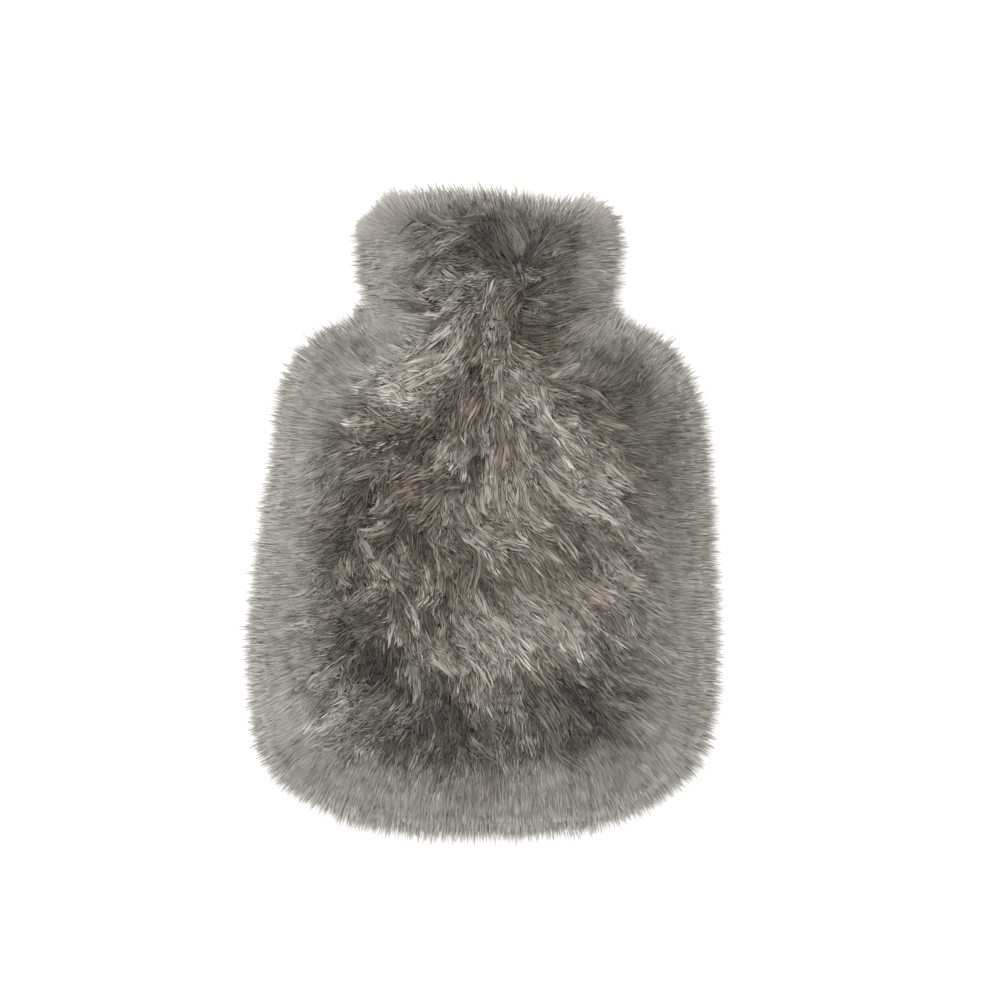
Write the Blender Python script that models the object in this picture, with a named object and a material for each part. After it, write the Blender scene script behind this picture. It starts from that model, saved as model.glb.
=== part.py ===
"""Hot water bottle cover in long wool sheepskin, lying on its back.

The front and the back are each one sheepskin piece, with body and neck cut in
one and the wool outside. They are sewn together round the sides and the
bottom, and the end of the neck is left open for the bottle. The origin is at
the bottom of the cover's box, in the middle: +Z is up through the face and
+Y points out of the neck.
"""

import math
from collections import namedtuple

import bmesh
import bpy
import numpy as np
from mathutils import Vector

MM = 0.001

# Driving sizes, in millimetres.
SEAM_HEIGHT = 28.0  # the sewn edge, above the surface it lies on
PIECE_GAP = 0.3
MOUTH_Y = 166.0  # where the skins end at the neck
PILE_REACH = 25.0  # how far the wool stands out from the sewn edge
PANEL_REACH = 12.0  # the part of it that is dense enough to be the panel
STRIP_WIDTH = 3.0  # the wool strip along the sewn edge, which carries the locks
STRIP_HALF_HEIGHT = 9.0
STRIP_CHAMFER = 1.5
MOUTH_STRIP = 5.0  # the wool strip round the mouth
TOP_Y = 187.5  # the wool's tips past the mouth

FRONT_RISE = 49.0  # wool over the seam, on the body
NECK_DROP = 10.0  # the neck is this much lower than the body
FRONT_ROUNDING = 110.0  # how far in from the edge the front goes on rising
RIM_ROUNDING = 22.0  # the rim's own, tighter curve
RIM_SHARE = 0.5  # and how much of the rise it makes
BACK_ROUNDING = 16.0
CAVITY_RISE = 17.0  # room for the bottle over the seam and under it
CAVITY_FALL = 14.0
CAVITY_ROUNDING = 26.0
SHOULDER_Y = 107.0  # the crease between neck and body
CREASE_DEPTH = 7.0
CREASE_WIDTH = 10.0
MOUTH_DROOP = 7.0  # the neck's wool sinks towards the mouth
MOUTH_DROOP_LENGTH = 16.0

COLUMNS = 32  # across the cover, even
ROWS = 42  # from the bottom to the mouth, even
CORNER_SHARE = 0.385  # where the bottom corner lies, as a share of the edge
EDGE_SAMPLES = 900

# The sewn edge: at each height, how far it lies from the middle on each side.
Section = namedtuple("Section", "height left right")
SEWN_EDGE = (
    Section(166.0, -46.0, 52.0),
    Section(140.0, -46.0, 52.5),
    Section(113.0, -46.0, 52.0),
    Section(99.0, -52.5, 56.5),
    Section(90.0, -66.0, 68.0),
    Section(79.0, -82.0, 84.5),
    Section(60.0, -92.0, 97.0),
    Section(30.0, -97.5, 103.5),
    Section(-10.0, -103.0, 107.0),
    Section(-60.0, -109.5, 108.5),
    Section(-100.0, -109.5, 108.5),
    Section(-125.0, -104.5, 102.5),
    Section(-143.0, -91.0, 88.0),
    Section(-155.0, -68.0, 67.0),
    Section(-161.0, -36.0, 36.0),
)
BOTTOM = (0.0, -162.5)

# Locks of wool that stand out of the front, and hollows between them. The heading
# is the way the wool lies, in degrees from +X towards +Y.
Lump = namedtuple("Lump", "x y heading length width height")
LUMPS = (
    Lump(-1, 72, 90, 34, 20, -8),
    Lump(-36, 70, 25, 62, 20, 7),
    Lump(30, 62, -50, 46, 19, 6),
    Lump(58, 20, -40, 52, 20, 6),
    Lump(11, 30, -90, 54, 17, 5),
    Lump(-15, 22, -135, 34, 16, 4),
    Lump(-30, 36, -150, 30, 18, -5),
    Lump(8, -6, -70, 54, 20, 6),
    Lump(32, -32, -30, 40, 18, 5),
    Lump(16, -62, -45, 66, 20, 6),
    Lump(54, -70, -40, 58, 22, 7),
    Lump(-63, -31, -50, 40, 18, 5),
    Lump(-94, 19, -150, 44, 17, 5),
    Lump(-48, 8, -160, 36, 18, 5),
    Lump(-36, -64, -120, 46, 18, 5),
    Lump(-84, -109, -145, 54, 20, 6),
    Lump(16, -120, -90, 48, 18, 4),
    Lump(92, -127, -45, 50, 20, 5),
    Lump(-50, -142, -110, 40, 18, 4),
    Lump(48, -142, -70, 38, 18, 4),
    Lump(88, 100, 60, 34, 18, 4),
    Lump(84, 63, 0, 38, 24, -6),
    Lump(92, 12, -10, 48, 18, -5),
    Lump(90, -34, -12, 50, 19, 5),
    Lump(96, -74, -20, 44, 17, -4),
    Lump(-83, -4, -160, 24, 17, -6),
    Lump(-66, -79, -45, 34, 18, -6),
    Lump(-19, -120, -90, 48, 18, -7),
    Lump(70, -108, -45, 42, 18, -6),
    Lump(44, -24, -40, 22, 16, -6),
    Lump(-106, -50, -170, 44, 17, 4),
    Lump(-82, 76, 160, 44, 19, 4),
    Lump(-70, 44, -165, 40, 17, -4),
    Lump(15, 156, 0, 34, 18, -5),
    Lump(-28, 150, 160, 36, 17, 4),
    Lump(-37, 126, -170, 34, 16, 4),
    Lump(42, 138, 40, 40, 18, 5),
    Lump(5, 102, -95, 32, 13, 8),
    Lump(24, 114, 40, 28, 15, -4),
)
LUMP_CLEARANCE = 24.0  # lumps fade out over this distance from the edge

# Two sets of low waves in the combed wool: which way each runs, and how it winds.
Ripple = namedtuple("Ripple", "across along winding height")
RIPPLES = (
    Ripple(0.9, 0.5, 1.3, 1.3),
    Ripple(-0.55, 0.8, 1.1, 1.3),
)
RIPPLE_LENGTH = 27.0
WINDING_LENGTH = 60.0

# Places on the rim where the wool reaches further out or less far.
Tuft = namedtuple("Tuft", "x y radius reach")
TUFTS = (
    Tuft(-120, 60, 26, -1.5),
    Tuft(128, 45, 22, 1.5),
    Tuft(80, 150, 18, 2.0),
    Tuft(-72, 128, 12, -1.5),
    Tuft(-110, 88, 14, 1.5),
    Tuft(-60, -176, 18, -2.0),
    Tuft(60, -176, 18, -2.0),
    Tuft(0, -187, 40, -1.0),
    Tuft(-135, -80, 30, 1.2),
    Tuft(134, -70, 30, 0.8),
)
LOCK_LENGTH_SPREAD = 2.2
LOCK_WAIST = 0.62  # a lock's width halfway along, as a share of its root's
LOCK_BEND = 2.2
LOCK_LEAN = 0.3  # how far the two rows of locks lean up and down
LOCK_LEAN_SPREAD = 0.12
NECK_LEAN = 0.5  # and how far those beside the mouth lean towards its end
NECK_LEAN_START = 20.0  # from this far below the mouth
LOCK_TURN_LIMIT = 0.05  # no locks where the edge turns in more sharply than this
MOST_LOCKS = 300
SEED = 11

# The strip round the mouth: how far each line of it lies from the wool's outside
# to the hollow's, as a share, and whether it is on the near or the far face.
MouthLine = namedtuple("MouthLine", "share is_far")
MOUTH_LINES = (
    MouthLine(0.1, False),
    MouthLine(0.16, True),
    MouthLine(0.5, True),
    MouthLine(0.84, True),
    MouthLine(0.9, False),
)
# The locks on it end on a line that is level in the middle and falls to the corners.
MOUTH_MIDDLE = 3.0
MOUTH_LEVEL_HALF = 30.0
MOUTH_CORNER = 34.0
MOUTH_FALL = 17.0
MOUTH_TIP_SPREAD = 0.14
# How far its outer and its inner locks lean away from the mouth, and how much more at the corners.
MouthFan = namedtuple("MouthFan", "middle corner")
MOUTH_FANS = (MouthFan(0.3, 0.75), MouthFan(0.1, 0.2))
MOUTH_FAN_GROWTH = 1.4

WOOL = (0.21, 0.195, 0.175)
WOOL_TIPS = (0.27, 0.25, 0.225)


def clear_scene():
    for thing in list(bpy.data.objects):
        bpy.data.objects.remove(thing, do_unlink=True)


def wool_material(name, colour):
    material = bpy.data.materials.new(name)
    material.use_nodes = True
    shader = material.node_tree.nodes["Principled BSDF"]
    shader.inputs["Base Color"].default_value = (*colour, 1.0)
    shader.inputs["Roughness"].default_value = 0.85
    shader.inputs["Metallic"].default_value = 0.0
    return material


def smooth_through(points):
    """A Catmull-Rom curve through the points, evenly spaced along its length."""
    points = np.array(points, float)
    ends = 2 * points[[0, -1]] - points[[1, -2]]
    padded = np.vstack([ends[:1], points, ends[1:]])
    t = np.linspace(0, 1, 40, endpoint=False)[:, None]
    runs = []
    for a, b, c, d in zip(padded, padded[1:], padded[2:], padded[3:]):
        runs.append(
            0.5 * (2 * b + (c - a) * t + (2 * a - 5 * b + 4 * c - d) * t**2 + (3 * b - a - 3 * c + d) * t**3)
        )
    curve = np.vstack([*runs, points[-1:]])
    steps = np.linalg.norm(np.diff(curve, axis=0), axis=1)
    along = np.concatenate([[0], np.cumsum(steps)])
    even = np.linspace(0, along[-1], EDGE_SAMPLES + 1)
    return np.stack([np.interp(even, along, curve[:, axis]) for axis in (0, 1)], axis=1)


def sewn_edge():
    """The sewn edge from the mouth's left side, round the bottom, to its right side."""
    left = [(s.left, s.height) for s in SEWN_EDGE]
    right = [(s.right, s.height) for s in reversed(SEWN_EDGE)]
    return smooth_through([*left, BOTTOM, *right])


EDGE = sewn_edge()


def outward_normals(curve):
    """Unit vectors that point out of the cover; straight sideways at the mouth."""
    tangent = np.gradient(curve, axis=0)
    normal = np.stack([tangent[:, 1], -tangent[:, 0]], axis=1)
    normal /= np.linalg.norm(normal, axis=1)[:, None]
    normal[0], normal[-1] = (-1, 0), (1, 0)
    return normal


EDGE_NORMALS = outward_normals(EDGE)


def edge_at(share, reach):
    """The point at a share of the edge's length, moved out from it by reach."""
    place = np.clip(share, 0, 1) * EDGE_SAMPLES
    index = np.arange(EDGE_SAMPLES + 1)
    point = np.array([np.interp(place, index, EDGE[:, axis]) for axis in (0, 1)])
    normal = np.array([np.interp(place, index, EDGE_NORMALS[:, axis]) for axis in (0, 1)])
    return point + reach * normal / np.linalg.norm(normal)


def distance_inside(x, y, reach):
    """How far a point lies inside the edge moved out by reach."""
    nearest = np.hypot(EDGE[:, 0] - x, EDGE[:, 1] - y)
    i = int(nearest.argmin())
    depth = -np.dot((x - EDGE[i, 0], y - EDGE[i, 1]), EDGE_NORMALS[i])
    return max(math.copysign(nearest[i], depth) + reach, 0.0)


def dome(distance, rounding, power=2.1):
    """From 0 at the edge to 1 at the rounding's end, upright at first and then level."""
    left = 1 - min(distance / rounding, 1.0)
    return (1 - left**power) ** (1 / power)


def ease(value):
    value = min(max(value, 0.0), 1.0)
    return value * value * (3 - 2 * value)


def lump_height(lump, x, y):
    """A smooth mound that is long along its heading."""
    heading = math.radians(lump.heading)
    along = (x - lump.x) * math.cos(heading) + (y - lump.y) * math.sin(heading)
    aside = (y - lump.y) * math.cos(heading) - (x - lump.x) * math.sin(heading)
    return lump.height * math.exp(-((2 * along / lump.length) ** 2) - (2 * aside / lump.width) ** 2)


def wool_relief(x, y, distance):
    """Lumps and waves of the front's wool, fading out at the rim."""
    height = sum(lump_height(lump, x, y) for lump in LUMPS)
    for ripple in RIPPLES:
        way = ripple.across * x + ripple.along * y
        winding = ripple.winding * math.sin(2 * math.pi * (ripple.along * x + ripple.across * y) / WINDING_LENGTH)
        height += ripple.height * math.sin(2 * math.pi * way / RIPPLE_LENGTH + winding)
    return height * ease(distance / LUMP_CLEARANCE)


def front_height(x, y):
    """Top of the front's wool: a dome with a lower neck, a crease and lumps."""
    distance = distance_inside(x, y, PANEL_REACH)
    neck = ease((y - SHOULDER_Y + 12) / 24)
    rise = FRONT_RISE - NECK_DROP * neck
    rise -= CREASE_DEPTH * math.exp(-(((y - SHOULDER_Y) / CREASE_WIDTH) ** 2))
    rise -= MOUTH_DROOP * ease(1 - (MOUTH_Y - y) / MOUTH_DROOP_LENGTH)
    start = SEAM_HEIGHT + PIECE_GAP / 2
    rise *= RIM_SHARE * dome(distance, RIM_ROUNDING) + (1 - RIM_SHARE) * dome(distance, FRONT_ROUNDING)
    return start + rise + wool_relief(x, y, distance)


def back_height(x, y):
    """Underside of the back's wool, pressed flat where the cover lies on it."""
    start = SEAM_HEIGHT - PIECE_GAP / 2
    return start - start * dome(distance_inside(x, y, PANEL_REACH), BACK_ROUNDING)


def cavity_top(x, y):
    start = SEAM_HEIGHT + PIECE_GAP / 2
    return start + CAVITY_RISE * dome(distance_inside(x, y, 0), CAVITY_ROUNDING)


def cavity_floor(x, y):
    start = SEAM_HEIGHT - PIECE_GAP / 2
    return start - CAVITY_FALL * dome(distance_inside(x, y, 0), CAVITY_ROUNDING)


def patch(columns, rows, reach):
    """Places of a grid that fills the edge moved out by reach, row by row.

    A Coons patch: its sides follow the edge down from the mouth to the bottom
    corners, its lowest row follows the bottom, and its last row is the mouth.
    """
    corner = CORNER_SHARE

    def left(v):
        return edge_at(corner * (1 - v), reach)

    def right(v):
        return edge_at(1 - corner * (1 - v), reach)

    def bottom(u):
        return edge_at(corner + (1 - 2 * corner) * u, reach)

    def top(u):
        return left(1) * (1 - u) + right(1) * u

    places = []
    for row in range(rows + 1):
        v = row / rows
        line = []
        for column in range(columns + 1):
            u = column / columns
            ruled = (1 - v) * bottom(u) + v * top(u) + (1 - u) * left(v) + u * right(v)
            low = (1 - v) * ((1 - u) * bottom(0) + u * bottom(1))
            high = v * ((1 - u) * top(0) + u * top(1))
            line.append(ruled - low - high)
        places.append(line)
    return places


def rim_of(grid):
    """The grid's entries along its left side, its bottom and its right side."""
    left = [row[0] for row in reversed(grid)]
    right = [row[-1] for row in grid]
    return left + grid[0][1:-1] + right


def rim_shares(columns, rows):
    """Shares of the edge's length at which rim_of lists a patch's points."""
    down = [CORNER_SHARE * i / rows for i in range(rows)]
    across = [CORNER_SHARE + (1 - 2 * CORNER_SHARE) * i / columns for i in range(columns)]
    up = [1 - CORNER_SHARE * (1 - i / rows) for i in range(rows + 1)]
    return down + across + up


def band(mesh, first, second):
    """Quads between two lines of vertices."""
    for a, b, c, d in zip(first, first[1:], second[1:], second):
        mesh.faces.new((a, b, c, d))


def band_two_to_one(mesh, fine, coarse):
    """Triangles between two lines, the first with two steps to each of the second's."""
    for i, (a, b) in enumerate(zip(coarse, coarse[1:])):
        start, middle, end = fine[2 * i : 2 * i + 3]
        for corners in ((a, start, middle), (a, middle, b), (b, middle, end)):
            mesh.faces.new(corners)


def skin_of(mesh, columns, rows, reaches, height):
    """A patch with rims round it, set to its heights. Returns its rim and its mouth line."""
    grid = [
        [mesh.verts.new((x * MM, y * MM, height(x, y) * MM)) for x, y in line]
        for line in patch(columns, rows, reaches[-1])
    ]
    for low, high in zip(grid, grid[1:]):
        band(mesh, low, high)
    rim, mouth = rim_of(grid), list(grid[-1])
    for reach in reversed(reaches[:-1]):
        places = [edge_at(share, reach) for share in rim_shares(columns, rows)]
        outer = [mesh.verts.new((x * MM, y * MM, height(x, y) * MM)) for x, y in places]
        band(mesh, outer, rim)
        rim = outer
        mouth = [outer[0], *mouth, outer[-1]]
    return rim, mouth


def finished(name, mesh, material, collection):
    bmesh.ops.recalc_face_normals(mesh, faces=mesh.faces)
    data = bpy.data.meshes.new(name)
    mesh.to_mesh(data)
    mesh.free()
    data.shade_smooth()
    data.set_sharp_from_angle(angle=math.radians(50))
    data.materials.append(material)
    thing = bpy.data.objects.new(name, data)
    collection.objects.link(thing)
    return thing


OUTER_RIMS = (PANEL_REACH, PANEL_REACH - 1, PANEL_REACH - 4)
INNER_RIMS = (0.0, -4.0)


def panel(name, outside, inside, material, collection):
    """One sheepskin piece: wool outside, the bottle's half of the hollow inside."""
    mesh = bmesh.new()
    rim, mouth = skin_of(mesh, COLUMNS, ROWS, OUTER_RIMS, outside)
    inner_rim, inner_mouth = skin_of(mesh, COLUMNS // 2, ROWS // 2, INNER_RIMS, inside)
    band_two_to_one(mesh, rim, inner_rim)
    band_two_to_one(mesh, mouth, inner_mouth)
    return finished(name, mesh, material, collection)


def grow_lock(mesh, root, way, bend):
    """Turns a face into a tapering lock that goes a way in millimetres and bends aside."""
    middle = root.calc_center_median()
    shaft = bmesh.ops.extrude_discrete_faces(mesh, faces=[root])["faces"][0]
    waist = middle + (way * 0.5 - bend * 0.35) * MM
    for vertex in shaft.verts:
        vertex.co = waist + (vertex.co - middle) * LOCK_WAIST
    tip = bmesh.ops.poke(mesh, faces=[shaft])["verts"][0]
    tip.co = middle + (way + bend) * MM


def tuft_reach(x, y):
    """How much further than the pile's reach the locks go here."""
    reach = 0
    for tuft in TUFTS:
        reach += tuft.reach * math.exp(-((x - tuft.x) ** 2 + (y - tuft.y) ** 2) / tuft.radius**2)
    return reach


def inward_turn(share):
    """How sharply the edge turns inwards here: above 0 in the hollow under the neck."""
    step = 0.006
    before, here, after = (edge_at(share + s, 0) for s in (-step, 0, step))
    first, second = here - before, after - here
    cross = first[0] * second[1] - first[1] * second[0]
    return -cross / (np.linalg.norm(first) * np.linalg.norm(second))


def seam_wool(material, collection, chance):
    """A strip of wool along the sewn edge, with the locks of the cover's outline."""
    near = PANEL_REACH + PIECE_GAP
    far = near + STRIP_WIDTH
    low, high = SEAM_HEIGHT - STRIP_HALF_HEIGHT, SEAM_HEIGHT + STRIP_HALF_HEIGHT
    cut = STRIP_CHAMFER
    profile = ((near, low), (far, low + cut), (far, SEAM_HEIGHT), (far, high - cut), (near, high))
    shares = rim_shares(COLUMNS, ROWS)
    mesh = bmesh.new()
    lines = []
    for reach, z in profile:
        places = [edge_at(share, reach) for share in shares]
        lines.append([mesh.verts.new((x * MM, y * MM, z * MM)) for x, y in places])
    cells = []
    for i in range(len(shares) - 1):
        share = (shares[i] + shares[i + 1]) / 2
        for level in range(len(lines)):
            one, two = lines[level], lines[(level + 1) % len(lines)]
            face = mesh.faces.new((one[i], one[i + 1], two[i + 1], two[i]))
            if level in (1, 2) and inward_turn(share) < LOCK_TURN_LIMIT:
                cells.append((face, share, level))
    mesh.faces.new([line[0] for line in lines])
    mesh.faces.new([line[-1] for line in reversed(lines)])
    for face, share, level in cells:
        point = edge_at(share, PILE_REACH)
        outward = point - edge_at(share, far)
        outward /= np.linalg.norm(outward)
        length = PILE_REACH - far + tuft_reach(*point) + LOCK_LENGTH_SPREAD * chance.uniform(-1, 1)
        lean = LOCK_LEAN * (-1, 1)[level - 1] + LOCK_LEAN_SPREAD * chance.uniform(-1, 1)
        up_neck = NECK_LEAN * ease((point[1] - MOUTH_Y) / NECK_LEAN_START + 1)
        direction = Vector((outward[0], outward[1] + up_neck, lean))
        bend = Vector((-outward[1], outward[0], 0)) * LOCK_BEND * chance.uniform(-1, 1)
        grow_lock(mesh, face, direction * length, bend)
    return finished("seam_wool", mesh, material, collection), len(cells)


def mouth_lock(root, level, away, chance):
    """The way to the tip of a lock on the mouth's strip: past the neck, fanned at its corners."""
    corner = max(abs(root.x - MOUTH_MIDDLE) - MOUTH_LEVEL_HALF, 0.0) / MOUTH_CORNER
    reach = TOP_Y - MOUTH_FALL * min(corner, 1.0) ** 2 - root.y
    fan = MOUTH_FANS[level - 1]
    lean = fan.middle + fan.corner * ease(corner * MOUTH_FAN_GROWTH)
    return (Vector((0, 1, 0)) + away * lean) * reach * (1 - MOUTH_TIP_SPREAD * chance.uniform(0, 1))


def mouth_wool(material, collection, chance):
    """A ring of wool on the neck's end, round the mouth, with locks past it."""
    near, far = MOUTH_Y + PIECE_GAP, MOUTH_Y + PIECE_GAP + MOUTH_STRIP

    def arch(columns, reaches, height):
        places = list(patch(columns, 1, reaches[-1])[-1])
        for reach in reversed(reaches[:-1]):
            places = [edge_at(0, reach), *places, edge_at(1, reach)]
        return [Vector((x, 0, height(x, MOUTH_Y))) for x, _ in places]

    outer = arch(COLUMNS, OUTER_RIMS, front_height)[::2]
    outer += arch(COLUMNS, OUTER_RIMS, back_height)[::2][-2:0:-1]
    inner = arch(COLUMNS // 2, INNER_RIMS, cavity_top)
    inner += arch(COLUMNS // 2, INNER_RIMS, cavity_floor)[-2:0:-1]
    mesh = bmesh.new()
    rings = []
    for line in MOUTH_LINES:
        y = far if line.is_far else near
        places = [out.lerp(into, line.share) for out, into in zip(outer, inner)]
        rings.append([mesh.verts.new((place.x * MM, y * MM, place.z * MM)) for place in places])
    count = len(outer)
    middle = sum(inner, Vector()) / count
    cells = []
    for level in range(len(rings)):
        one, two = rings[level], rings[(level + 1) % len(rings)]
        for i in range(count):
            j = (i + 1) % count
            face = mesh.faces.new((one[i], one[j], two[j], two[i]))
            if level in (1, 2):
                cells.append((face, level))
    for face, level in cells:
        root = face.calc_center_median() / MM
        away = Vector((root.x - middle.x, 0, root.z - middle.z))
        away.normalize()
        bend = Vector((-away.z, 0, away.x)) * LOCK_BEND * chance.uniform(-1, 1)
        grow_lock(mesh, face, mouth_lock(root, level, away, chance), bend)
    return finished("mouth_wool", mesh, material, collection), len(cells)


def set_on_origin(things):
    """Moves the whole cover so that the origin is under the middle of its box."""
    points = np.array([vertex.co for thing in things for vertex in thing.data.vertices])
    low, high = points.min(axis=0), points.max(axis=0)
    shift = Vector((-(low[0] + high[0]) / 2, -(low[1] + high[1]) / 2, 0))
    for thing in things:
        thing.location = shift
    return shift


def build():
    clear_scene()
    collection = bpy.data.collections.new("hot_water_bottle_cover")
    bpy.context.scene.collection.children.link(collection)
    wool = wool_material("wool", WOOL)
    tips = wool_material("wool_tips", WOOL_TIPS)
    chance = np.random.default_rng(SEED)
    front = panel("front_panel", front_height, cavity_top, wool, collection)
    back = panel("back_panel", back_height, cavity_floor, wool, collection)
    seam, seam_locks = seam_wool(tips, collection, chance)
    mouth, mouth_locks = mouth_wool(tips, collection, chance)
    if seam_locks + mouth_locks > MOST_LOCKS:
        raise ValueError("too many locks")
    shift = set_on_origin((front, back, seam, mouth))
    print("locks", seam_locks, mouth_locks, "shift in mm", [round(s / MM, 2) for s in shift])


build()
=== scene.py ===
import bpy, math
import numpy as np
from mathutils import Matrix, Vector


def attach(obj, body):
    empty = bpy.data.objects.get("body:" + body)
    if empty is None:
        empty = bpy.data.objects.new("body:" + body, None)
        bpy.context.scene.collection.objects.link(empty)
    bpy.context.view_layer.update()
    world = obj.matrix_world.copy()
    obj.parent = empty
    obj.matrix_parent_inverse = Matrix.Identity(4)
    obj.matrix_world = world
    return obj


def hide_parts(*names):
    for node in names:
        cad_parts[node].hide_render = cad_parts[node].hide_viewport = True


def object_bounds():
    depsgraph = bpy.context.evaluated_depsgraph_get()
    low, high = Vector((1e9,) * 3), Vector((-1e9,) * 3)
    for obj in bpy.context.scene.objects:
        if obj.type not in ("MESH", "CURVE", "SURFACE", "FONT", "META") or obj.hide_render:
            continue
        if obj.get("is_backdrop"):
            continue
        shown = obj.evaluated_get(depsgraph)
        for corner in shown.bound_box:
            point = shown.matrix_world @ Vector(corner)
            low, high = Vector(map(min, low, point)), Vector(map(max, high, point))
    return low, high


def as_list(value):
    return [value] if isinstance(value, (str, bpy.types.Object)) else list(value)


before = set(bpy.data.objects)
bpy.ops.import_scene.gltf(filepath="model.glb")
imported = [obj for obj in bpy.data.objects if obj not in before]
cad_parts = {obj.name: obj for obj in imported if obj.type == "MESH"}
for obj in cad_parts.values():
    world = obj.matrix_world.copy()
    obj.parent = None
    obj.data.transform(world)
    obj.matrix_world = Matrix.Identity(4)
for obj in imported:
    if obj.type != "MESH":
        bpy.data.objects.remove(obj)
cadLow, cadHigh = (list(corner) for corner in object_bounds())
mm = 0.001
print("frame ready,", len(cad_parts), "solids")


def ease(value):
    # 0 below 0, 1 above 1, and 3 v^2 - 2 v^3 between
    value = np.clip(value, 0, 1)
    return value * value * (3 - 2 * value)


def domeRise(distance, rounding, power=2.1):
    # (1 - (1 - d / r)^p)^(1 / p): upright at the rim, level past the rounding
    left = 1 - np.clip(distance / rounding, 0, 1)
    return (1 - left**power) ** (1 / power)


def unit(vectors):
    return vectors / np.maximum(np.linalg.norm(vectors, axis=-1, keepdims=True), 1e-9)


def blend(first, second, share):
    return first + (second - first) * share


def closing(count):
    # shares from 0 to 1 whose steps shorten towards 1, for rows that close a rounded end
    t = np.linspace(0, 1, count)
    return 0.3 * t + 0.7 * np.sin(t * math.pi / 2)


def halfTurn(left, right, turn):
    # x from left to right as the points of a half circle lie, for turns from 0 to pi
    return (left + right) / 2 - (right - left) / 2 * np.cos(turn)


def throughTurn(start, turn, end, t):
    # curves (1 - t)^2 start + 2 t (1 - t) turn + t^2 end, one for each row
    return start[:, None] * (1 - t) ** 2 + turn[:, None] * 2 * t * (1 - t) + end[:, None] * t**2


def smoothThrough(points, count):
    # a Catmull-Rom curve through the points, read at even steps of its length
    points = np.array(points, float)
    ends = 2 * points[[0, -1]] - points[[1, -2]]
    padded = np.vstack([ends[:1], points, ends[1:]])
    a, b, c, d = (padded[i : len(padded) - 3 + i, None] for i in range(4))
    t = np.linspace(0, 1, 40, endpoint=False)[None, :, None]
    runs = 0.5 * (2 * b + (c - a) * t + (2 * a - 5 * b + 4 * c - d) * t**2 + (3 * b - a - 3 * c + d) * t**3)
    curve = np.vstack([runs.reshape(-1, points.shape[1]), points[-1:]])
    along = np.concatenate([[0], np.cumsum(np.linalg.norm(np.diff(curve, axis=0), axis=1))])
    even = np.linspace(0, along[-1], count)
    return np.stack([np.interp(even, along, curve[:, axis]) for axis in range(points.shape[1])], axis=1)


# The cover's form in millimetres, as its solids have it.
form = {
    # the sewn edge: height along the cover, then how far it lies from the middle on each side
    "sewnEdge": [
        (166, -46, 52), (140, -46, 52.5), (113, -46, 52), (99, -52.5, 56.5), (90, -66, 68),
        (79, -82, 84.5), (60, -92, 97), (30, -97.5, 103.5), (-10, -103, 107), (-60, -109.5, 108.5),
        (-100, -109.5, 108.5), (-125, -104.5, 102.5), (-143, -91, 88), (-155, -68, 67), (-161, -36, 36),
    ],
    "bottom": -162.5,
    "seamHeight": 28.0,
    "mouth": 166.0,
    "pile": 25.0,          # how far the wool stands out from the sewn edge
    "woolEnd": (188.5, 182.5, 181.5),  # where the wool ends past the mouth: middle, left and right
    "corner": 22.0,
    "rise": 50.0,          # top of the wool over the seam
    "neckDrop": 10.0,
    "shoulder": 107.0,
    "crease": 8.0,
    "cavityRise": 17.0,
    "cavityFall": 14.0,
    "cavityRounding": 26.0,
    "skin": 1.5,
    # where the wool's outline bulges or falls short: x, y, radius, how far
    "bulges": [
        (-120, 62, 22, 0.5), (128, 45, 22, 1.5), (-76, 152, 22, 3), (78, 152, 22, 2.5),
        (-97, 99, 22, 2.5), (100, 99, 24, 3), (-119, 76, 22, 3), (118, 74, 22, 2.5),
        (0, -187, 40, -1), (-135, -80, 30, 1.2), (134, -70, 30, 0.8), (-122, -140, 24, 5),
        (122, -140, 24, 4.5), (-78, 118, 16, -2), (80, 118, 16, -3),
    ],
}

edge = smoothThrough(
    [(left, y) for y, left, right in form["sewnEdge"]]
    + [(0, form["bottom"])]
    + [(right, y) for y, left, right in reversed(form["sewnEdge"])],
    901,
)
edgeTangent = unit(np.gradient(edge, axis=0))
edgeNormal = np.stack([edgeTangent[:, 1], -edgeTangent[:, 0]], axis=1)
edgeNormal[0], edgeNormal[-1] = (-1, 0), (1, 0)


def edgeAt(share, reach):
    # points at shares of the sewn edge's length, moved out of the cover by reach, and their normals
    place = np.clip(share, 0, 1) * (len(edge) - 1)
    index = np.arange(len(edge))
    point = np.stack([np.interp(place, index, edge[:, axis]) for axis in (0, 1)], axis=-1)
    normal = unit(np.stack([np.interp(place, index, edgeNormal[:, axis]) for axis in (0, 1)], axis=-1))
    return point + np.asarray(reach)[..., None] * normal, normal


# Fields on a raster of 1 mm, read between its points.
raster = {"low": (-175, -225), "step": 1.0, "size": (351, 451)}
lineX = raster["low"][0] + np.arange(raster["size"][0]) * raster["step"]
lineY = raster["low"][1] + np.arange(raster["size"][1]) * raster["step"]
gridX, gridY = np.meshgrid(lineX, lineY)


def read(field, x, y):
    # bilinear reading of a raster field at points in millimetres
    across = np.clip((x - raster["low"][0]) / raster["step"], 0, raster["size"][0] - 1.001)
    up = np.clip((y - raster["low"][1]) / raster["step"], 0, raster["size"][1] - 1.001)
    i, j = across.astype(int), up.astype(int)
    s, t = across - i, up - j
    return (
        field[j, i] * (1 - s) * (1 - t) + field[j, i + 1] * s * (1 - t)
        + field[j + 1, i] * (1 - s) * t + field[j + 1, i + 1] * s * t
    )


def readAt(field, points):
    return read(field, points[..., 0], points[..., 1])


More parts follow.
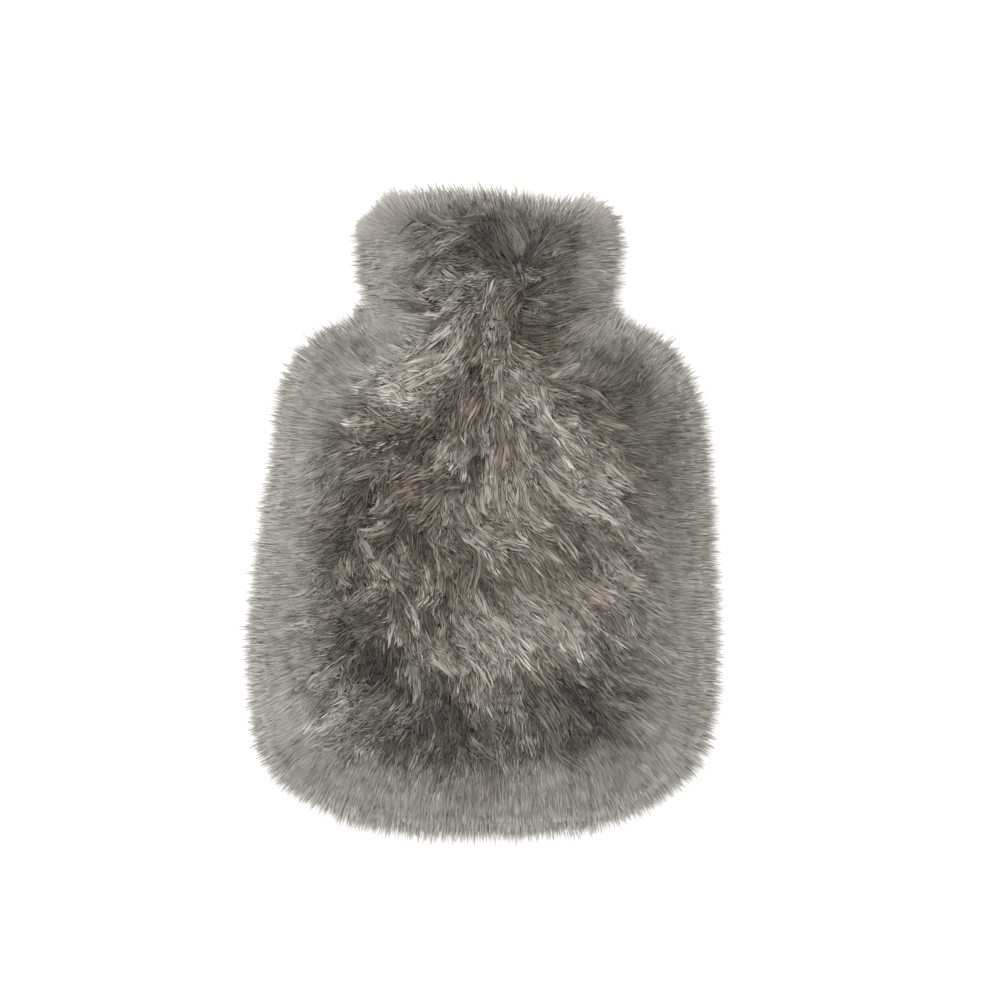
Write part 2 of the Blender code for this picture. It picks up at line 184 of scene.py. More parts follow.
def signedDistance():
    # how far each raster point lies inside the sewn edge, less than 0 outside it; the edge runs
    # straight on past the mouth
    points = np.stack([gridX.ravel(), np.minimum(gridY, form["mouth"] - 1).ravel()], axis=1)
    signed, many = np.empty(len(points)), 20000  # points worked out at a time, to save memory
    for start in range(0, len(points), many):
        block = points[start : start + many]
        gap = block[:, None, :] - edge[None, ::3, :]
        square = (gap**2).sum(axis=2)
        nearest = square.argmin(axis=1)
        side = (gap[np.arange(len(block)), nearest] * edgeNormal[::3][nearest]).sum(axis=1)
        signed[start : start + many] = -np.sign(side) * np.sqrt(square.min(axis=1))
    return signed.reshape(gridX.shape)


def softNoise(x, y, length, seed, waves=7):
    # a sum of sine waves in random directions, between about -1 and 1
    chance = np.random.default_rng(seed)
    total = np.zeros_like(x, dtype=float)
    turns, phases = chance.uniform(0, 2 * math.pi, (2, waves))
    for turn, phase, stretch in zip(turns, phases, chance.uniform(0.7, 1.5, waves)):
        total += np.sin((x * math.cos(turn) + y * math.sin(turn)) * 2 * math.pi / (length * stretch) + phase)
    return total / math.sqrt(waves) * 0.8


def gridNoise(length, seed):
    return softNoise(gridX, gridY, length, seed)


# How the wool is combed: where, which way it lies (degrees from +x to +y), how long and wide
# the lock or hollow is, how far it stands out, how strongly it turns its neighbours, its shade.
# The shade column is partly the wool's own tone and partly painted shade and light: darker in the hollows,
# lighter on the raised locks.
combing = np.array([
    # x, y, heading, length, width, height, comb, shade
    # the neck
    (-47, 138, 180, 40, 26, 3, 1.5, 0.06),
    (-36, 144, 208, 24, 10, 3, 1.6, 0.12),
    (-6, 133, 188, 32, 12, 3, 1.8, 0.12),
    (-15, 124, 225, 20, 9, 3, 1.6, 0.12),
    (-11, 115, 235, 32, 12, 5, 2.0, 0.16),
    (6, 105, -90, 36, 14, 7, 2.2, 0.18),
    (12, 150, 115, 40, 22, -4, 0.6, -0.20),
    (-8, 154, 160, 24, 14, 2, 1.2, 0.06),
    (54, 159, 42, 32, 20, 3, 1.6, 0.06),
    (55, 129, 15, 40, 20, 3, 1.6, 0.06),
    (32, 136, 20, 22, 18, -3, 0.8, -0.14),
    (29, 117, -60, 20, 13, 3, 1.0, 0.06),
    (-51, 115, 170, 44, 11, -3, 1.4, -0.08),
    (44, 112, 35, 40, 12, -4, 1.0, -0.16),
    # the shoulders
    (-82, 98, 168, 50, 22, 2, 1.6, 0.05),
    (-105, 72, 165, 40, 26, 0, 1.6, 0.06),
    (-40, 74, 200, 58, 22, 7, 2.6, 0.24),
    (-5, 80, 90, 36, 15, -7, 0.2, -0.28),
    (21, 75, -20, 22, 16, 6, 2.0, 0.12),
    (31, 60, -60, 26, 14, 7, 2.4, 0.24),
    (46, 46, -28, 34, 14, 5, 2.2, 0.18),
    (58, 67, -25, 44, 15, 3, 1.8, 0.05),
    (72, 71, 20, 44, 22, -6, 0.8, -0.24),
    (98, 46, 15, 44, 28, -5, 0.8, -0.20),
    (94, 80, 62, 36, 18, 3, 2.0, 0.14),
    (55, 94, 55, 36, 14, 4, 2.0, 0.14),
    (66, 88, 76, 26, 10, 3, 1.6, 0.10),
    (42, 98, 20, 30, 12, -3, 0.8, -0.12),
    (89, 104, 60, 34, 20, 2, 1.6, 0.08),
    # right of the middle
    (46, 34, -42, 42, 15, 4, 2.2, 0.08),
    (68, 15, -25, 28, 17, 6, 2.2, 0.22),
    (37, 17, -42, 38, 15, 3, 2.2, 0.05),
    (56, 6, -25, 30, 13, 6, 2.2, 0.20),
    (81, -5, -38, 32, 12, 5, 2.0, 0.18),
    (12, 35, -85, 50, 16, 5, 2.4, 0.10),
    (25, 20, -70, 38, 12, 4, 2.2, 0.05),
    (29, 44, -60, 26, 10, -4, 1.0, -0.20),
    (89, 10, -8, 46, 26, -5, 1.0, -0.22),
    (35, -11, -30, 28, 15, 3, 2.0, 0.08),
    (48, -20, -15, 24, 9, -5, 0.8, -0.26),
    (47, -28, -30, 22, 15, -5, 0.8, -0.20),
    (70, -28, -65, 22, 9, 5, 1.8, 0.20),
    (63, -33, -55, 24, 9, 4, 1.6, 0.14),
    (52, -36, -45, 42, 17, 5, 2.0, 0.12),
    (96, -40, -12, 50, 24, 2, 1.4, 0.02),
    # the middle
    (-10, 9, -88, 28, 13, 4, 2.2, 0.10),
    (-6, -8, -55, 28, 13, 4, 2.2, 0.12),
    (12, -15, -20, 32, 14, 4, 2.2, 0.10),
    (-2, 28, -90, 24, 8, -4, 0.8, -0.26),
    (-12, 31, 215, 24, 11, 5, 2.0, 0.20),
    (-17, 20, 215, 32, 11, -4, 0.8, -0.20),
    (9, -35, -42, 42, 20, 4, 2.0, 0.04),
    (-17, -45, -60, 32, 20, -4, 1.2, -0.18),
    # left of the middle
    (-94, 24, 215, 36, 17, 5, 1.8, 0.14),
    (-90, 14, 255, 22, 10, 4, 1.6, 0.12),
    (-74, -6, 200, 34, 24, -6, 0.5, -0.26),
    (-57, 25, 175, 32, 10, 5, 1.8, 0.16),
    (-61, -24, -58, 42, 11, 5, 2.0, 0.14),
    (-80, -36, -35, 24, 11, 4, 1.8, 0.16),
    (-56, 2, 212, 28, 11, 5, 1.8, 0.12),
    (-62, 48, 110, 28, 15, -3, 1.2, -0.16),
    (-94, 52, 150, 40, 24, 2, 1.6, 0.02),
    (-31, 40, 230, 36, 18, -4, 1.2, -0.18),
    (-40, -6, 250, 32, 18, -3, 1.2, -0.16),
    (-31, -25, -85, 24, 11, 4, 1.6, 0.10),
    (-19, -21, -70, 20, 10, 3, 1.6, 0.08),
    (-37, -45, -70, 32, 13, 3, 1.6, 0.04),
    (-51, -51, -50, 36, 15, 2, 1.4, 0.02),
    (-105, -28, 185, 44, 32, 2, 1.4, 0.05),
    (-100, -62, 190, 44, 20, 2, 1.4, 0.05),
    (-80, -56, 195, 28, 11, 3, 1.6, 0.10),
    # towards the bottom
    (9, -66, -48, 52, 22, 6, 2.4, 0.18),
    (44, -69, -50, 58, 26, 7, 2.6, 0.26),
    (75, -53, -62, 28, 15, 4, 1.8, 0.10),
    (61, -108, -40, 50, 34, -6, 0.8, -0.28),
    (43, -104, -70, 42, 22, -4, 1.0, -0.16),
    (92, -74, -42, 46, 22, 3, 1.8, 0.04),
    (78, -111, -25, 28, 9, 4, 1.6, 0.14),
    (10, -103, -88, 32, 15, 3, 2.0, 0.10),
    (-17, -123, -85, 50, 26, -6, 0.8, -0.26),
    (3, -107, -88, 24, 10, 4, 1.8, 0.14),
    (-33, -106, -80, 16, 9, 4, 1.4, 0.12),
    (-8, -68, -52, 48, 18, 5, 2.2, 0.18),
    (-25, -82, -45, 30, 10, 4, 1.8, 0.16),
    (-42, -91, -62, 26, 12, 3, 1.6, 0.08),
    (-71, -82, -60, 32, 24, -6, 0.6, -0.26),
    (-57, -91, -60, 24, 15, -4, 0.8, -0.18),
    (-70, -113, 195, 38, 19, 5, 2.0, 0.18),
    (-94, -95, 216, 52, 19, 3, 2.0, 0.10),
    (-100, -119, 216, 52, 19, 2, 1.8, 0.08),
    (-51, -138, -112, 32, 18, 1, 1.4, -0.04),
    (-23, -154, -118, 20, 9, 2, 1.4, 0.06),
    (92, -127, -45, 50, 22, 2, 1.6, 0.06),
], float)


# Broad lighter and darker parts of the wool over the combing, partly the wool's own tone and partly
# painted light and shade where its lumps catch the light and its hollows lie in shade: where, which
# way, length, width, shade.
tones = np.array([
    # the neck
    (8, 150, 0, 84, 40, -0.22),
    (14, 147, 0, 40, 24, -0.12),
    (32, 108, 0, 46, 36, -0.20),
    (-37, 117, 0, 46, 26, 0.20),
    # the shoulders
    (-46, 74, 20, 60, 28, 0.36),
    (-5, 79, 90, 40, 18, -0.24),
    (80, 70, -50, 64, 28, -0.38),
    (97, 24, -80, 120, 22, -0.36),
    (-58, 146, 80, 60, 34, -0.08),
    (62, 142, 100, 60, 30, -0.12),
    (-84, 92, 30, 60, 30, -0.20),
    (-74, 62, 60, 50, 30, -0.08),
    # the middle
    (-80, 15, 90, 110, 30, -0.22),
    (21, 62, -60, 50, 16, 0.14),
    (56, 28, -50, 70, 24, 0.10),
    (60, 8, 0, 36, 20, 0.14),
    (12, 10, -60, 60, 28, 0.10),
    (-38, 22, 90, 80, 40, -0.10),
    (-17, 26, 0, 18, 14, 0.12),
    (16, -38, -5, 92, 20, -0.24),
    # towards the bottom
    (24, -70, 24, 92, 32, 0.25),
    (-66, -85, -60, 52, 32, -0.28),
    (-24, -118, -50, 74, 42, -0.28),
    (52, -112, -10, 58, 46, -0.30),
    (-44, -58, 0, 52, 24, -0.14),
    (-96, -104, 40, 60, 40, 0.20),
], float)


combHeading = np.radians(combing[:, 2])
combHeight, combTurn, combShade = combing[:, 5:].T
toneShade = tones[:, 5]


def weightsOf(table, widen):
    # exp(-(2 a / length)^2 - (2 b / width)^2) for each row, a along its heading and b across it
    x, y, heading, length, width = table[:, :5].T
    heading = np.radians(heading)
    dx, dy = gridX[..., None] - x, gridY[..., None] - y
    along = dx * np.cos(heading) + dy * np.sin(heading)
    aside = dy * np.cos(heading) - dx * np.sin(heading)
    return np.exp(-((2 * along / (widen * length)) ** 2) - (2 * aside / (widen * width)) ** 2)


def makeRoom(stretch):
    # how far each point lies inside the wool's outline: the sewn edge moved out by the pile, closed
    # past the mouth with rounded corners; distances to that end count times stretch; then how far
    # it lies inside the sides alone, and before the end alone
    middle, left, right = form["woolEnd"]
    last = middle - (middle - left) * ease((-25 - gridX) / 35) - (middle - right) * ease((gridX - 5) / 50)
    across = inside + form["pile"] + bulge
    up, corner = (last - gridY) * stretch, form["corner"]
    near = np.minimum(across, up)
    cut = np.maximum(corner - up, 0)
    rounded = corner - np.hypot(np.maximum(corner - across, 0), cut)
    sideways = across - (corner - np.sqrt(np.maximum(corner**2 - np.minimum(cut, corner) ** 2, 0)))
    return np.where(near < corner, rounded, near), sideways, up


inside = signedDistance()
bulge = sum(
    more * np.exp(-((gridX - x) ** 2 + (gridY - y) ** 2) / radius**2)
    for x, y, radius, more in form["bulges"]
)
room, sideRoom, endRoom = makeRoom(1.0)
rimRoom = makeRoom(1.7)[0]
outY, outX = np.gradient(-rimRoom)
outX, outY = (part / np.maximum(np.hypot(outX, outY), 1e-6) for part in (outX, outY))
# middleShare is 0 on the rim and 1 in the middle, with an uneven border that lies farther out on
# the neck; messy is how far the locks there go their own ways, most on the left
neckShare = ease((gridY - 104) / 20) * (1 - 0.7 * ease((gridY - 154) / 20))
middleShare = ease((rimRoom * (1 + 0.45 * neckShare) - 25 + 6 * gridNoise(length=34, seed=17)) / 30)
messy = middleShare * (0.45 + 0.55 * ease((30 - gridX) / 70))


def makeFlow():
    # the way the wool lies: from the middle line outwards and down, up at the shoulders; on the
    # neck apart at x = 24 and up to the mouth; then turned by the combing, square to the outline
    # near it, and turned by chance in the messy middle
    bodyX = gridX / 60
    bodyY = -0.75 - 1.6 * ease((-gridY - 80) / 70) + 1.9 * ease((gridY - 40) / 50) * ease(np.abs(gridX) / 70)
    upper = ease((gridY - 148) / 26)
    neckX = np.tanh((gridX - 24) / 18) * (1 - 0.6 * upper) - 0.35 * upper * ease((45 - gridX) / 50)
    neckY = 0.15 * np.tanh((gridX - 10) / 16) + 1.2 * upper
    neckY = neckY + 0.9 * np.exp(-(((gridX - 20) / 18) ** 2)) * ease((gridY - 124) / 16)
    neckY = neckY - 0.8 * np.exp(-(((gridX - 6) / 14) ** 2)) * ease((132 - gridY) / 16)
    neck = ease((gridY - 96) / 18)
    flowX, flowY = blend(bodyX, neckX, neck), blend(bodyY, neckY, neck)
    size = np.maximum(np.hypot(flowX, flowY), 0.3)
    flowX, flowY = flowX / size, flowY / size
    weights = weightsOf(combing, 1.3) * combTurn
    flowX += (weights * np.cos(combHeading)).sum(axis=-1)
    flowY += (weights * np.sin(combHeading)).sum(axis=-1)
    rim = (5 - 3.4 * ease((-30 - gridY) / 40) * ease((-55 - gridX) / 25)) * ease((41 - rimRoom) / 34)
    flowX += rim * outX
    flowY += rim * outY
    turn = messy * (0.45 * gridNoise(length=40, seed=5) + 0.4 * gridNoise(length=19, seed=6))
    cos, sin = np.cos(turn), np.sin(turn)
    flowX, flowY = flowX * cos - flowY * sin, flowX * sin + flowY * cos
    size = np.maximum(np.hypot(flowX, flowY), 1e-6)
    return flowX / size, flowY / size


def makeTop(relief):
    # top of the wool: seam + rise * dome over the sides * dome over the mouth + the combed lumps,
    # with a lower neck and a crease where it meets the shoulders
    rise = form["rise"] - form["neckDrop"] * ease((gridY - form["shoulder"] + 12) / 24)
    rise = rise - form["crease"] * np.exp(-(((gridY - form["shoulder"]) / 10) ** 2))
    rounding = 0.48 * domeRise(sideRoom, 44, 1.9) + 0.52 * domeRise(sideRoom, 130)
    end = domeRise(endRoom, 27, 2.0)
    return form["seamHeight"] + rise * rounding * end + relief * ease((room - 13) / 24)


def combedGrain(seed, steps=16, stride=1.1):
    # random grain smeared along the flow both ways, which leaves fine streaks that follow it
    grain = np.random.default_rng(seed).normal(size=gridX.shape)
    total, count = grain.copy(), 1
    for way in (-1, 1):
        x, y = gridX.copy(), gridY.copy()
        for _ in range(steps):
            stepX, stepY = read(flowX, x, y), read(flowY, x, y)
            x, y = x + way * stride * stepX, y + way * stride * stepY
            total += read(grain, x, y)
            count += 1
    return total / math.sqrt(count) * 0.75


flowX, flowY = makeFlow()
# the shades of the combing and the tones, partly painted light and shade, and random tone in the messy
# middle
shadeMap = (weightsOf(combing, 1.15) * combShade).sum(axis=-1) * 0.8
shadeMap += (weightsOf(tones, 1.2) * toneShade).sum(axis=-1)
shadeMap += 0.07 * messy * (gridNoise(length=26, seed=15) + gridNoise(length=15, seed=16))
woolTop = makeTop((weightsOf(combing, 1.0) * combHeight).sum(axis=-1))
fibre = combedGrain(seed=21)
# The rim is lighter than the middle, partly as the wool's own paler tips and partly as painted light; tips
# is painted light where the outer strands let light through.
shading = {"middle": 0.50, "rim": 0.80, "tips": 0.20, "neck": -0.03, "bottom": 0.02, "rimPatches": 0.5}

# Half the width of the browner middle at each height along the cover, and its soft uneven border.
brownZone = {
    "y": (-118, -85, -40, 0, 60, 100, 125, 150), "half": (-10, 52, 98, 96, 76, 50, 14, -25),
    "centre": 3, "blur": 46, "edge": 0.35, "uneven": 0.25, "most": 0.95,
}


def brownShare(x, y):
    # how many of the strands at x, y are the browner ones
    zone = brownZone
    half = np.interp(y, zone["y"], zone["half"], 0, 0)
    depth = (half - np.abs(x - zone["centre"])) / zone["blur"] + zone["edge"]
    return zone["most"] * ease(depth + zone["uneven"] * softNoise(x, y, length=26, seed=14))


def baseShade(x, y):
    # the wool's shade: light at the rim, partly its own paler tips and partly painted light, and
    # lighter still at the tips near the outline, as painted light through them; darker in the middle,
    # partly painted shade among the deep locks; with the patches of the combing and the tones, partly
    # painted light and shade, weaker at the rim
    share = read(middleShare, x, y)
    level = blend(shading["rim"], shading["middle"], share)
    level = level + shading["neck"] * ease((y - 100) / 20) + shading["bottom"] * ease((-110 - y) / 50)
    level = level + shading["tips"] * (1 - ease(read(room, x, y) / 16))
    return level + read(shadeMap, x, y) * blend(shading["rimPatches"], 1.0, share)


print("fields ready")


def meshPiece(name, verts, triangles, uv=None):
    # verts in millimetres; triangles are rows of three indices; uv has one row for each vertex
    mesh = bpy.data.meshes.new(name)
    mesh.vertices.add(len(verts))
    mesh.vertices.foreach_set("co", (np.asarray(verts) * mm).astype(np.float32).ravel())
    flat = np.asarray(triangles, np.int32).ravel()
    mesh.loops.add(len(flat))
    mesh.loops.foreach_set("vertex_index", flat)
    mesh.polygons.add(len(flat) // 3)
    mesh.polygons.foreach_set("loop_start", np.arange(0, len(flat), 3, dtype=np.int32))
    mesh.update(calc_edges=True)
    mesh.polygons.foreach_set("use_smooth", np.ones(len(flat) // 3, bool))
    if uv is not None:
        layer = mesh.uv_layers.new(name="OFBake")
        layer.data.foreach_set("uv", np.asarray(uv, np.float32)[flat].ravel())
    mesh.update()
    piece = bpy.data.objects.new(name, mesh)
    bpy.context.scene.collection.objects.link(piece)
    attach(piece, "root")
    return piece


def gridTriangles(rows, columns, closed=False):
    # two triangles for each cell of a grid, its last column joined to its first if it is closed
    i, j = np.meshgrid(np.arange(rows - 1), np.arange(columns if closed else columns - 1), indexing="ij")
    k = (j + 1) % columns
    a, b, c, d = i * columns + j, i * columns + k, (i + 1) * columns + k, (i + 1) * columns + j
    return np.concatenate([np.stack([a, b, c], -1).reshape(-1, 3), np.stack([a, c, d], -1).reshape(-1, 3)])


brownChance = np.random.default_rng(3)


def woolPiece(name, finish, strands):
    # each strand is a narrow band whose points lie left and right of its path in turn, by half its
    # width across (tangent x up), rolled a little; v is the strand's shade, and u runs from root to
    # tip in 0 to 0.5 for grey strands and 0.5 to 1 for browner ones
    paths, up, along, shade, width, roll = strands
    count, steps, _ = paths.shape
    own = np.linspace(0, 1, steps)[None]
    tangent = unit(np.gradient(paths, axis=1))
    side = unit(np.cross(tangent, up))
    lift = np.cross(side, tangent)
    side = side * np.cos(roll)[:, None, None] + lift * np.sin(roll)[:, None, None]
    aside = width[:, None] * (1 - 0.85 * own**2) * np.where(np.arange(steps) % 2, 0.5, -0.5)
    verts = (paths + side * aside[..., None]).reshape(-1, 3)
    k = np.arange(steps - 2)
    band = np.stack([k + k % 2, k + 1 - k % 2, k + 2], -1)
    triangles = (band[None] + (np.arange(count) * steps)[:, None, None]).reshape(-1, 3)
    middle = paths[:, steps // 2]
    brown = brownChance.uniform(0, 1, count) < brownShare(middle[:, 0], middle[:, 1])
    u = 0.02 + 0.46 * np.clip(along, 0, 1) + 0.5 * brown[:, None]
    v = np.clip(shade, 0.02, 0.98)[:, None] + 0.02 * aside
    piece = meshPiece(name, verts, triangles, np.stack([u, v], -1).reshape(-1, 2))
    piece.data.materials.append(finish)
    print(name, count, "strands,", len(triangles), "triangles")
    return piece


def bundleStrands(guides, look, lockWidth, lockShade, crimp, chance, calm=1.0):
    # each lock is a few tufts side by side; a strand runs at guide + sway * side + bob * lift,
    # where its place across draws in to its tuft's middle as 1 - gather t^1.4, and bob is highest
    # in the lock's middle; strands and tufts start and end by themselves; calm scales how much the
    # shades in a lock differ
    locks, knots, _ = guides.shape
    count, steps, tufts = look["strands"], look["steps"], look["tufts"]
    tangent = unit(np.gradient(guides, axis=1))
    upright = np.broadcast_to(np.array([0.0, 0.0, 1.0]), guides.shape)
    side = unit(np.cross(tangent, upright))
    lift = np.cross(side, tangent)
    rows = np.arange(locks)[:, None]
    tuft = chance.integers(0, tufts, (locks, count))

    def each(values):
        # for each strand the value of its tuft
        return values[rows, tuft]

    def vary(tuftSize, ownSize):
        # chance amounts that a tuft's strands share, and each strand's own on top
        return each(chance.normal(0, tuftSize, (locks, tufts))) + chance.normal(0, ownSize, (locks, count))

    middle = (np.arange(tufts) + 0.5 + chance.uniform(-0.3, 0.3, (locks, tufts))) / tufts * 2 - 1
    spread = chance.uniform(-1, 1, (locks, count)) * 1.5 / tufts
    centre = each(middle)
    arch = np.clip(1 - (centre + spread) ** 2, 0, 1)
    level = chance.uniform(0, 1, (locks, count)) ** 0.7 * arch
    level = level + each(chance.normal(0, 0.1, (locks, tufts)))
    start = chance.uniform(0, look["startSpread"], (locks, count))
    end = 1 - each(chance.uniform(0, look["endSpread"], (locks, tufts))) - look["point"] * (1 - arch)
    end = end - chance.exponential(0.09, (locks, count))
    end = np.maximum(end, start + 0.25)
    own = np.linspace(0, 1, steps)
    t = start[..., None] + (end - start)[..., None] * own
    index = np.clip(t, 0, 1) * (knots - 1)
    low = np.minimum(index.astype(int), knots - 2)
    part = (index - low)[..., None]

    def follow(values):
        return values[rows[..., None], low] * (1 - part) + values[rows[..., None], low + 1] * part

    reach = np.minimum(t / end[..., None], 1)
    wave = crimp["phase"][:, None, None] + t * crimp["turns"][:, None, None] * 2 * math.pi
    wave = wave + vary(0.6, look["ownPhase"])[..., None]
    size = crimp["size"][:, None, None] * ease(0.2 + 2 * t)
    bend = vary(look["drift"], look["loose"])
    rise = vary(look["lift"], 0.3)
    aside = centre[..., None] * (1 - 0.25 * t**1.5) + spread[..., None] * (1 - look["gather"] * reach**1.4)
    sway = aside * (lockWidth[:, None] / 2)[..., None] + size * np.sin(wave) + bend[..., None] * t**1.6
    bob = (level * look["thickness"])[..., None] * (1 - 0.35 * t)
    bob = bob + 0.5 * size * np.cos(wave) + rise[..., None] * t**1.5
    paths = follow(guides) + follow(side) * sway[..., None] + follow(lift) * bob[..., None]
    # painted shade between strands: the lower strands of a lock are darker, by the depth shade
    differ = look["paintedDepthShade"] * (level - 0.45) + vary(look["tuftShade"], look["strandShade"])
    shade = lockShade[:, None] + differ * np.broadcast_to(calm, locks)[:, None]
    kept = (np.arange(count) < lockWidth[:, None] * look["density"]).ravel()
    total = locks * count
    return (
        paths.reshape(total, steps, 3)[kept],
        follow(upright).reshape(total, steps, 3)[kept],
        t.reshape(total, steps)[kept],
        shade.ravel()[kept],
        chance.uniform(*look["strandWidth"], total)[kept],
        chance.normal(0, look["roll"], total)[kept],
    )


def bentStrands(paths, up, t, shade, look, chance, kept=slice(None)):
    # the same six values for strands that are drawn one by one
    count, steps, _ = paths.shape
    return (
        paths[kept], np.broadcast_to(up[:, None], paths.shape)[kept],
        np.broadcast_to(t[..., 0], (count, steps))[kept], shade[kept],
        chance.uniform(*look["width"], count)[kept], chance.normal(0, 0.5, count)[kept],
    )


evenTurns = {"climb": 0.671044, "reach": 0.819173}


def evenly(count, what):
    # numbers from 0 to 1 that never bunch up: the fractions of 0.5 turns, 1.5 turns and so on
    return (np.arange(count) + 0.5) * evenTurns[what] % 1.0


def scatter(spacing, keep, chance):
    # points of a jittered grid where keep(x, y) is true
    x, y = np.meshgrid(np.arange(-150, 150, spacing), np.arange(-195, 200, spacing))
    x = x + chance.uniform(-0.6, 0.6, x.shape) * spacing
    y = y + chance.uniform(-0.6, 0.6, y.shape) * spacing
    kept = keep(x, y)
    return x[kept], y[kept]


def crimpOf(guides, length, wavelength, size, chance):
    # waves whose crests line up across neighbouring locks
    way = unit(guides[:, 3, :2] - guides[:, 0, :2])
    level = (guides[:, 0, :2] * way).sum(-1)
    phase = 2 * math.pi * level / wavelength + 4 * softNoise(*guides[:, 0, :2].T, length=60, seed=12)
    return {"phase": phase + chance.normal(0, 0.5, len(guides)), "turns": length / wavelength, "size": size}


def newFinish(name, values):
    # a material with these values on its Principled BSDF, its node tree, and that shader
    material = bpy.data.materials.new(name)
    material.use_nodes = True
    shader = material.node_tree.nodes["Principled BSDF"]
    for socket, value in values.items():
        shader.inputs[socket].default_value = value
    return material, material.node_tree, shader


def addNode(tree, kind, inputs, **settings):
    # a node's outputs; each of its inputs is joined to another node's output or holds a value
    node = tree.nodes.new("ShaderNode" + kind)
    for setting, value in settings.items():
        setattr(node, setting, value)
    for socket, value in inputs.items():
        if isinstance(value, bpy.types.NodeSocket):
            tree.links.new(value, node.inputs[socket])
        else:
            node.inputs[socket].default_value = value
    return node.outputs


def toneRamp(tree, value, places, colours):
    # colours at places along value, and straight blends between them
    ramp = tree.nodes.new("ShaderNodeValToRGB")
    elements = ramp.color_ramp.elements
    elements[1].position, elements[0].position = places[-1], places[0]
    for place in places[1:-1]:
        elements.new(place)
    for element, colour in zip(elements, colours):
        element.color = (*colour, 1)
    tree.links.new(value, ramp.inputs[0])
    return ramp.outputs[0]


strandTint = {
    "brown": (1.10, 1.0, 0.87), "brownFade": 1.12, "tipShade": 1.08, "tipFrom": 0.85,
    "streakScale": (9, 260, 1), "streakRange": (0.3, 0.7),
}
woolTones = {
    # dark, middle and light along v, how dark the roots are (partly painted shade where they lie
    # covered, partly the wool's own paler tips), how strong the streaks are
    "fineWool": {
        "tones": ((0.038, 0.033, 0.026), (0.180, 0.163, 0.142), (0.465, 0.442, 0.407)),
        "rootShade": 0.48, "streaks": 0.22,
        "surface": {"Roughness": 0.7, "Specular IOR Level": 0.3, "Sheen Weight": 0.12},
    },
    "paleWool": {
        "tones": ((0.095, 0.086, 0.075), (0.20, 0.183, 0.165), (0.46, 0.436, 0.404)),
        "rootShade": 0.90, "streaks": 0.06,
        "surface": {"Roughness": 0.7, "Specular IOR Level": 0.3, "Sheen Weight": 0.12},
    },
    "denseWool": {
        "tones": ((0.04, 0.034, 0.026), (0.16, 0.147, 0.127), (0.36, 0.342, 0.315)),
        "surface": {"Roughness": 0.85},
    },
}


def makeStrandColour():
    # the tone times a brown tint in the upper half of u, which fades as v grows, times a shade
    # that is darker at the root of each half and a little lighter at the tip, partly painted shade
    # where the roots lie covered and partly the wool's own paler tips, times fine streaks along u
    group, look = bpy.data.node_groups.new("strandColour", "ShaderNodeTree"), strandTint
    for name, kind in (("UV", "Vector"), ("Tone", "Color"), ("Root Shade", "Float"),
                       ("Streak Dark", "Float"), ("Streak Light", "Float")):
        group.interface.new_socket(name, in_out="INPUT", socket_type="NodeSocket" + kind)
    group.interface.new_socket("Colour", in_out="OUTPUT", socket_type="NodeSocketColor")
    given = group.nodes.new("NodeGroupInput").outputs
    u, v, _ = addNode(group, "SeparateXYZ", {0: given["UV"]})
    twice = addNode(group, "Math", {0: u, 1: 2}, operation="MULTIPLY")[0]
    along = addNode(group, "Math", {0: twice}, operation="FRACT")[0]
    isBrown = addNode(group, "Math", {0: u, 1: 0.5}, operation="GREATER_THAN")[0]
    fade = addNode(group, "Math", {0: look["brownFade"], 1: v}, operation="SUBTRACT")[0]
    amount = addNode(group, "Math", {0: isBrown, 1: fade}, operation="MULTIPLY")[0]
    tint = addNode(group, "Mix", {
        "Factor": amount, "A": (1, 1, 1, 1), "B": (*look["brown"], 1)}, data_type="RGBA")["Result"]
    tinted = addNode(group, "VectorMath", {0: given["Tone"], 1: tint}, operation="MULTIPLY")[0]
    root = addNode(group, "MapRange", {
        "Value": along, "From Max": look["tipFrom"], "To Min": given["Root Shade"],
        "To Max": look["tipShade"]})[0]
    place = addNode(group, "Mapping", {"Vector": given["UV"], "Scale": look["streakScale"]})[0]
    streak = addNode(group, "TexNoise", {"Vector": place, "Scale": 1, "Detail": 2})[0]
    low, high = look["streakRange"]
    streak = addNode(group, "MapRange", {
        "Value": streak, "From Min": low, "From Max": high, "To Min": given["Streak Dark"],
        "To Max": given["Streak Light"]})[0]
    shade = addNode(group, "Math", {0: root, 1: streak}, operation="MULTIPLY")[0]
    shaded = addNode(group, "VectorMath", {0: tinted, "Scale": shade}, operation="SCALE")[0]
    group.links.new(shaded, group.nodes.new("NodeGroupOutput").inputs[0])
    return group


strandColour = makeStrandColour()


def woolFinish(name):
    # the tones lie along v; those of strands pass through strandColour
    look = woolTones[name]
    material, tree, shader = newFinish(name, look["surface"])
    uv = addNode(tree, "UVMap", {}, uv_map="OFBake")[0]
    tone = toneRamp(tree, addNode(tree, "SeparateXYZ", {0: uv})[1], (0, 0.5, 1), look["tones"])
    if "streaks" in look:
        tone = addNode(tree, "Group", {
            "UV": uv, "Tone": tone, "Root Shade": look["rootShade"],
            "Streak Dark": 1 - look["streaks"], "Streak Light": 1 + 0.8 * look["streaks"],
        }, node_tree=strandColour)[0]
    tree.links.new(tone, shader.inputs["Base Color"])
    return material


fineWool, paleWool = woolFinish("fineWool"), woolFinish("paleWool")

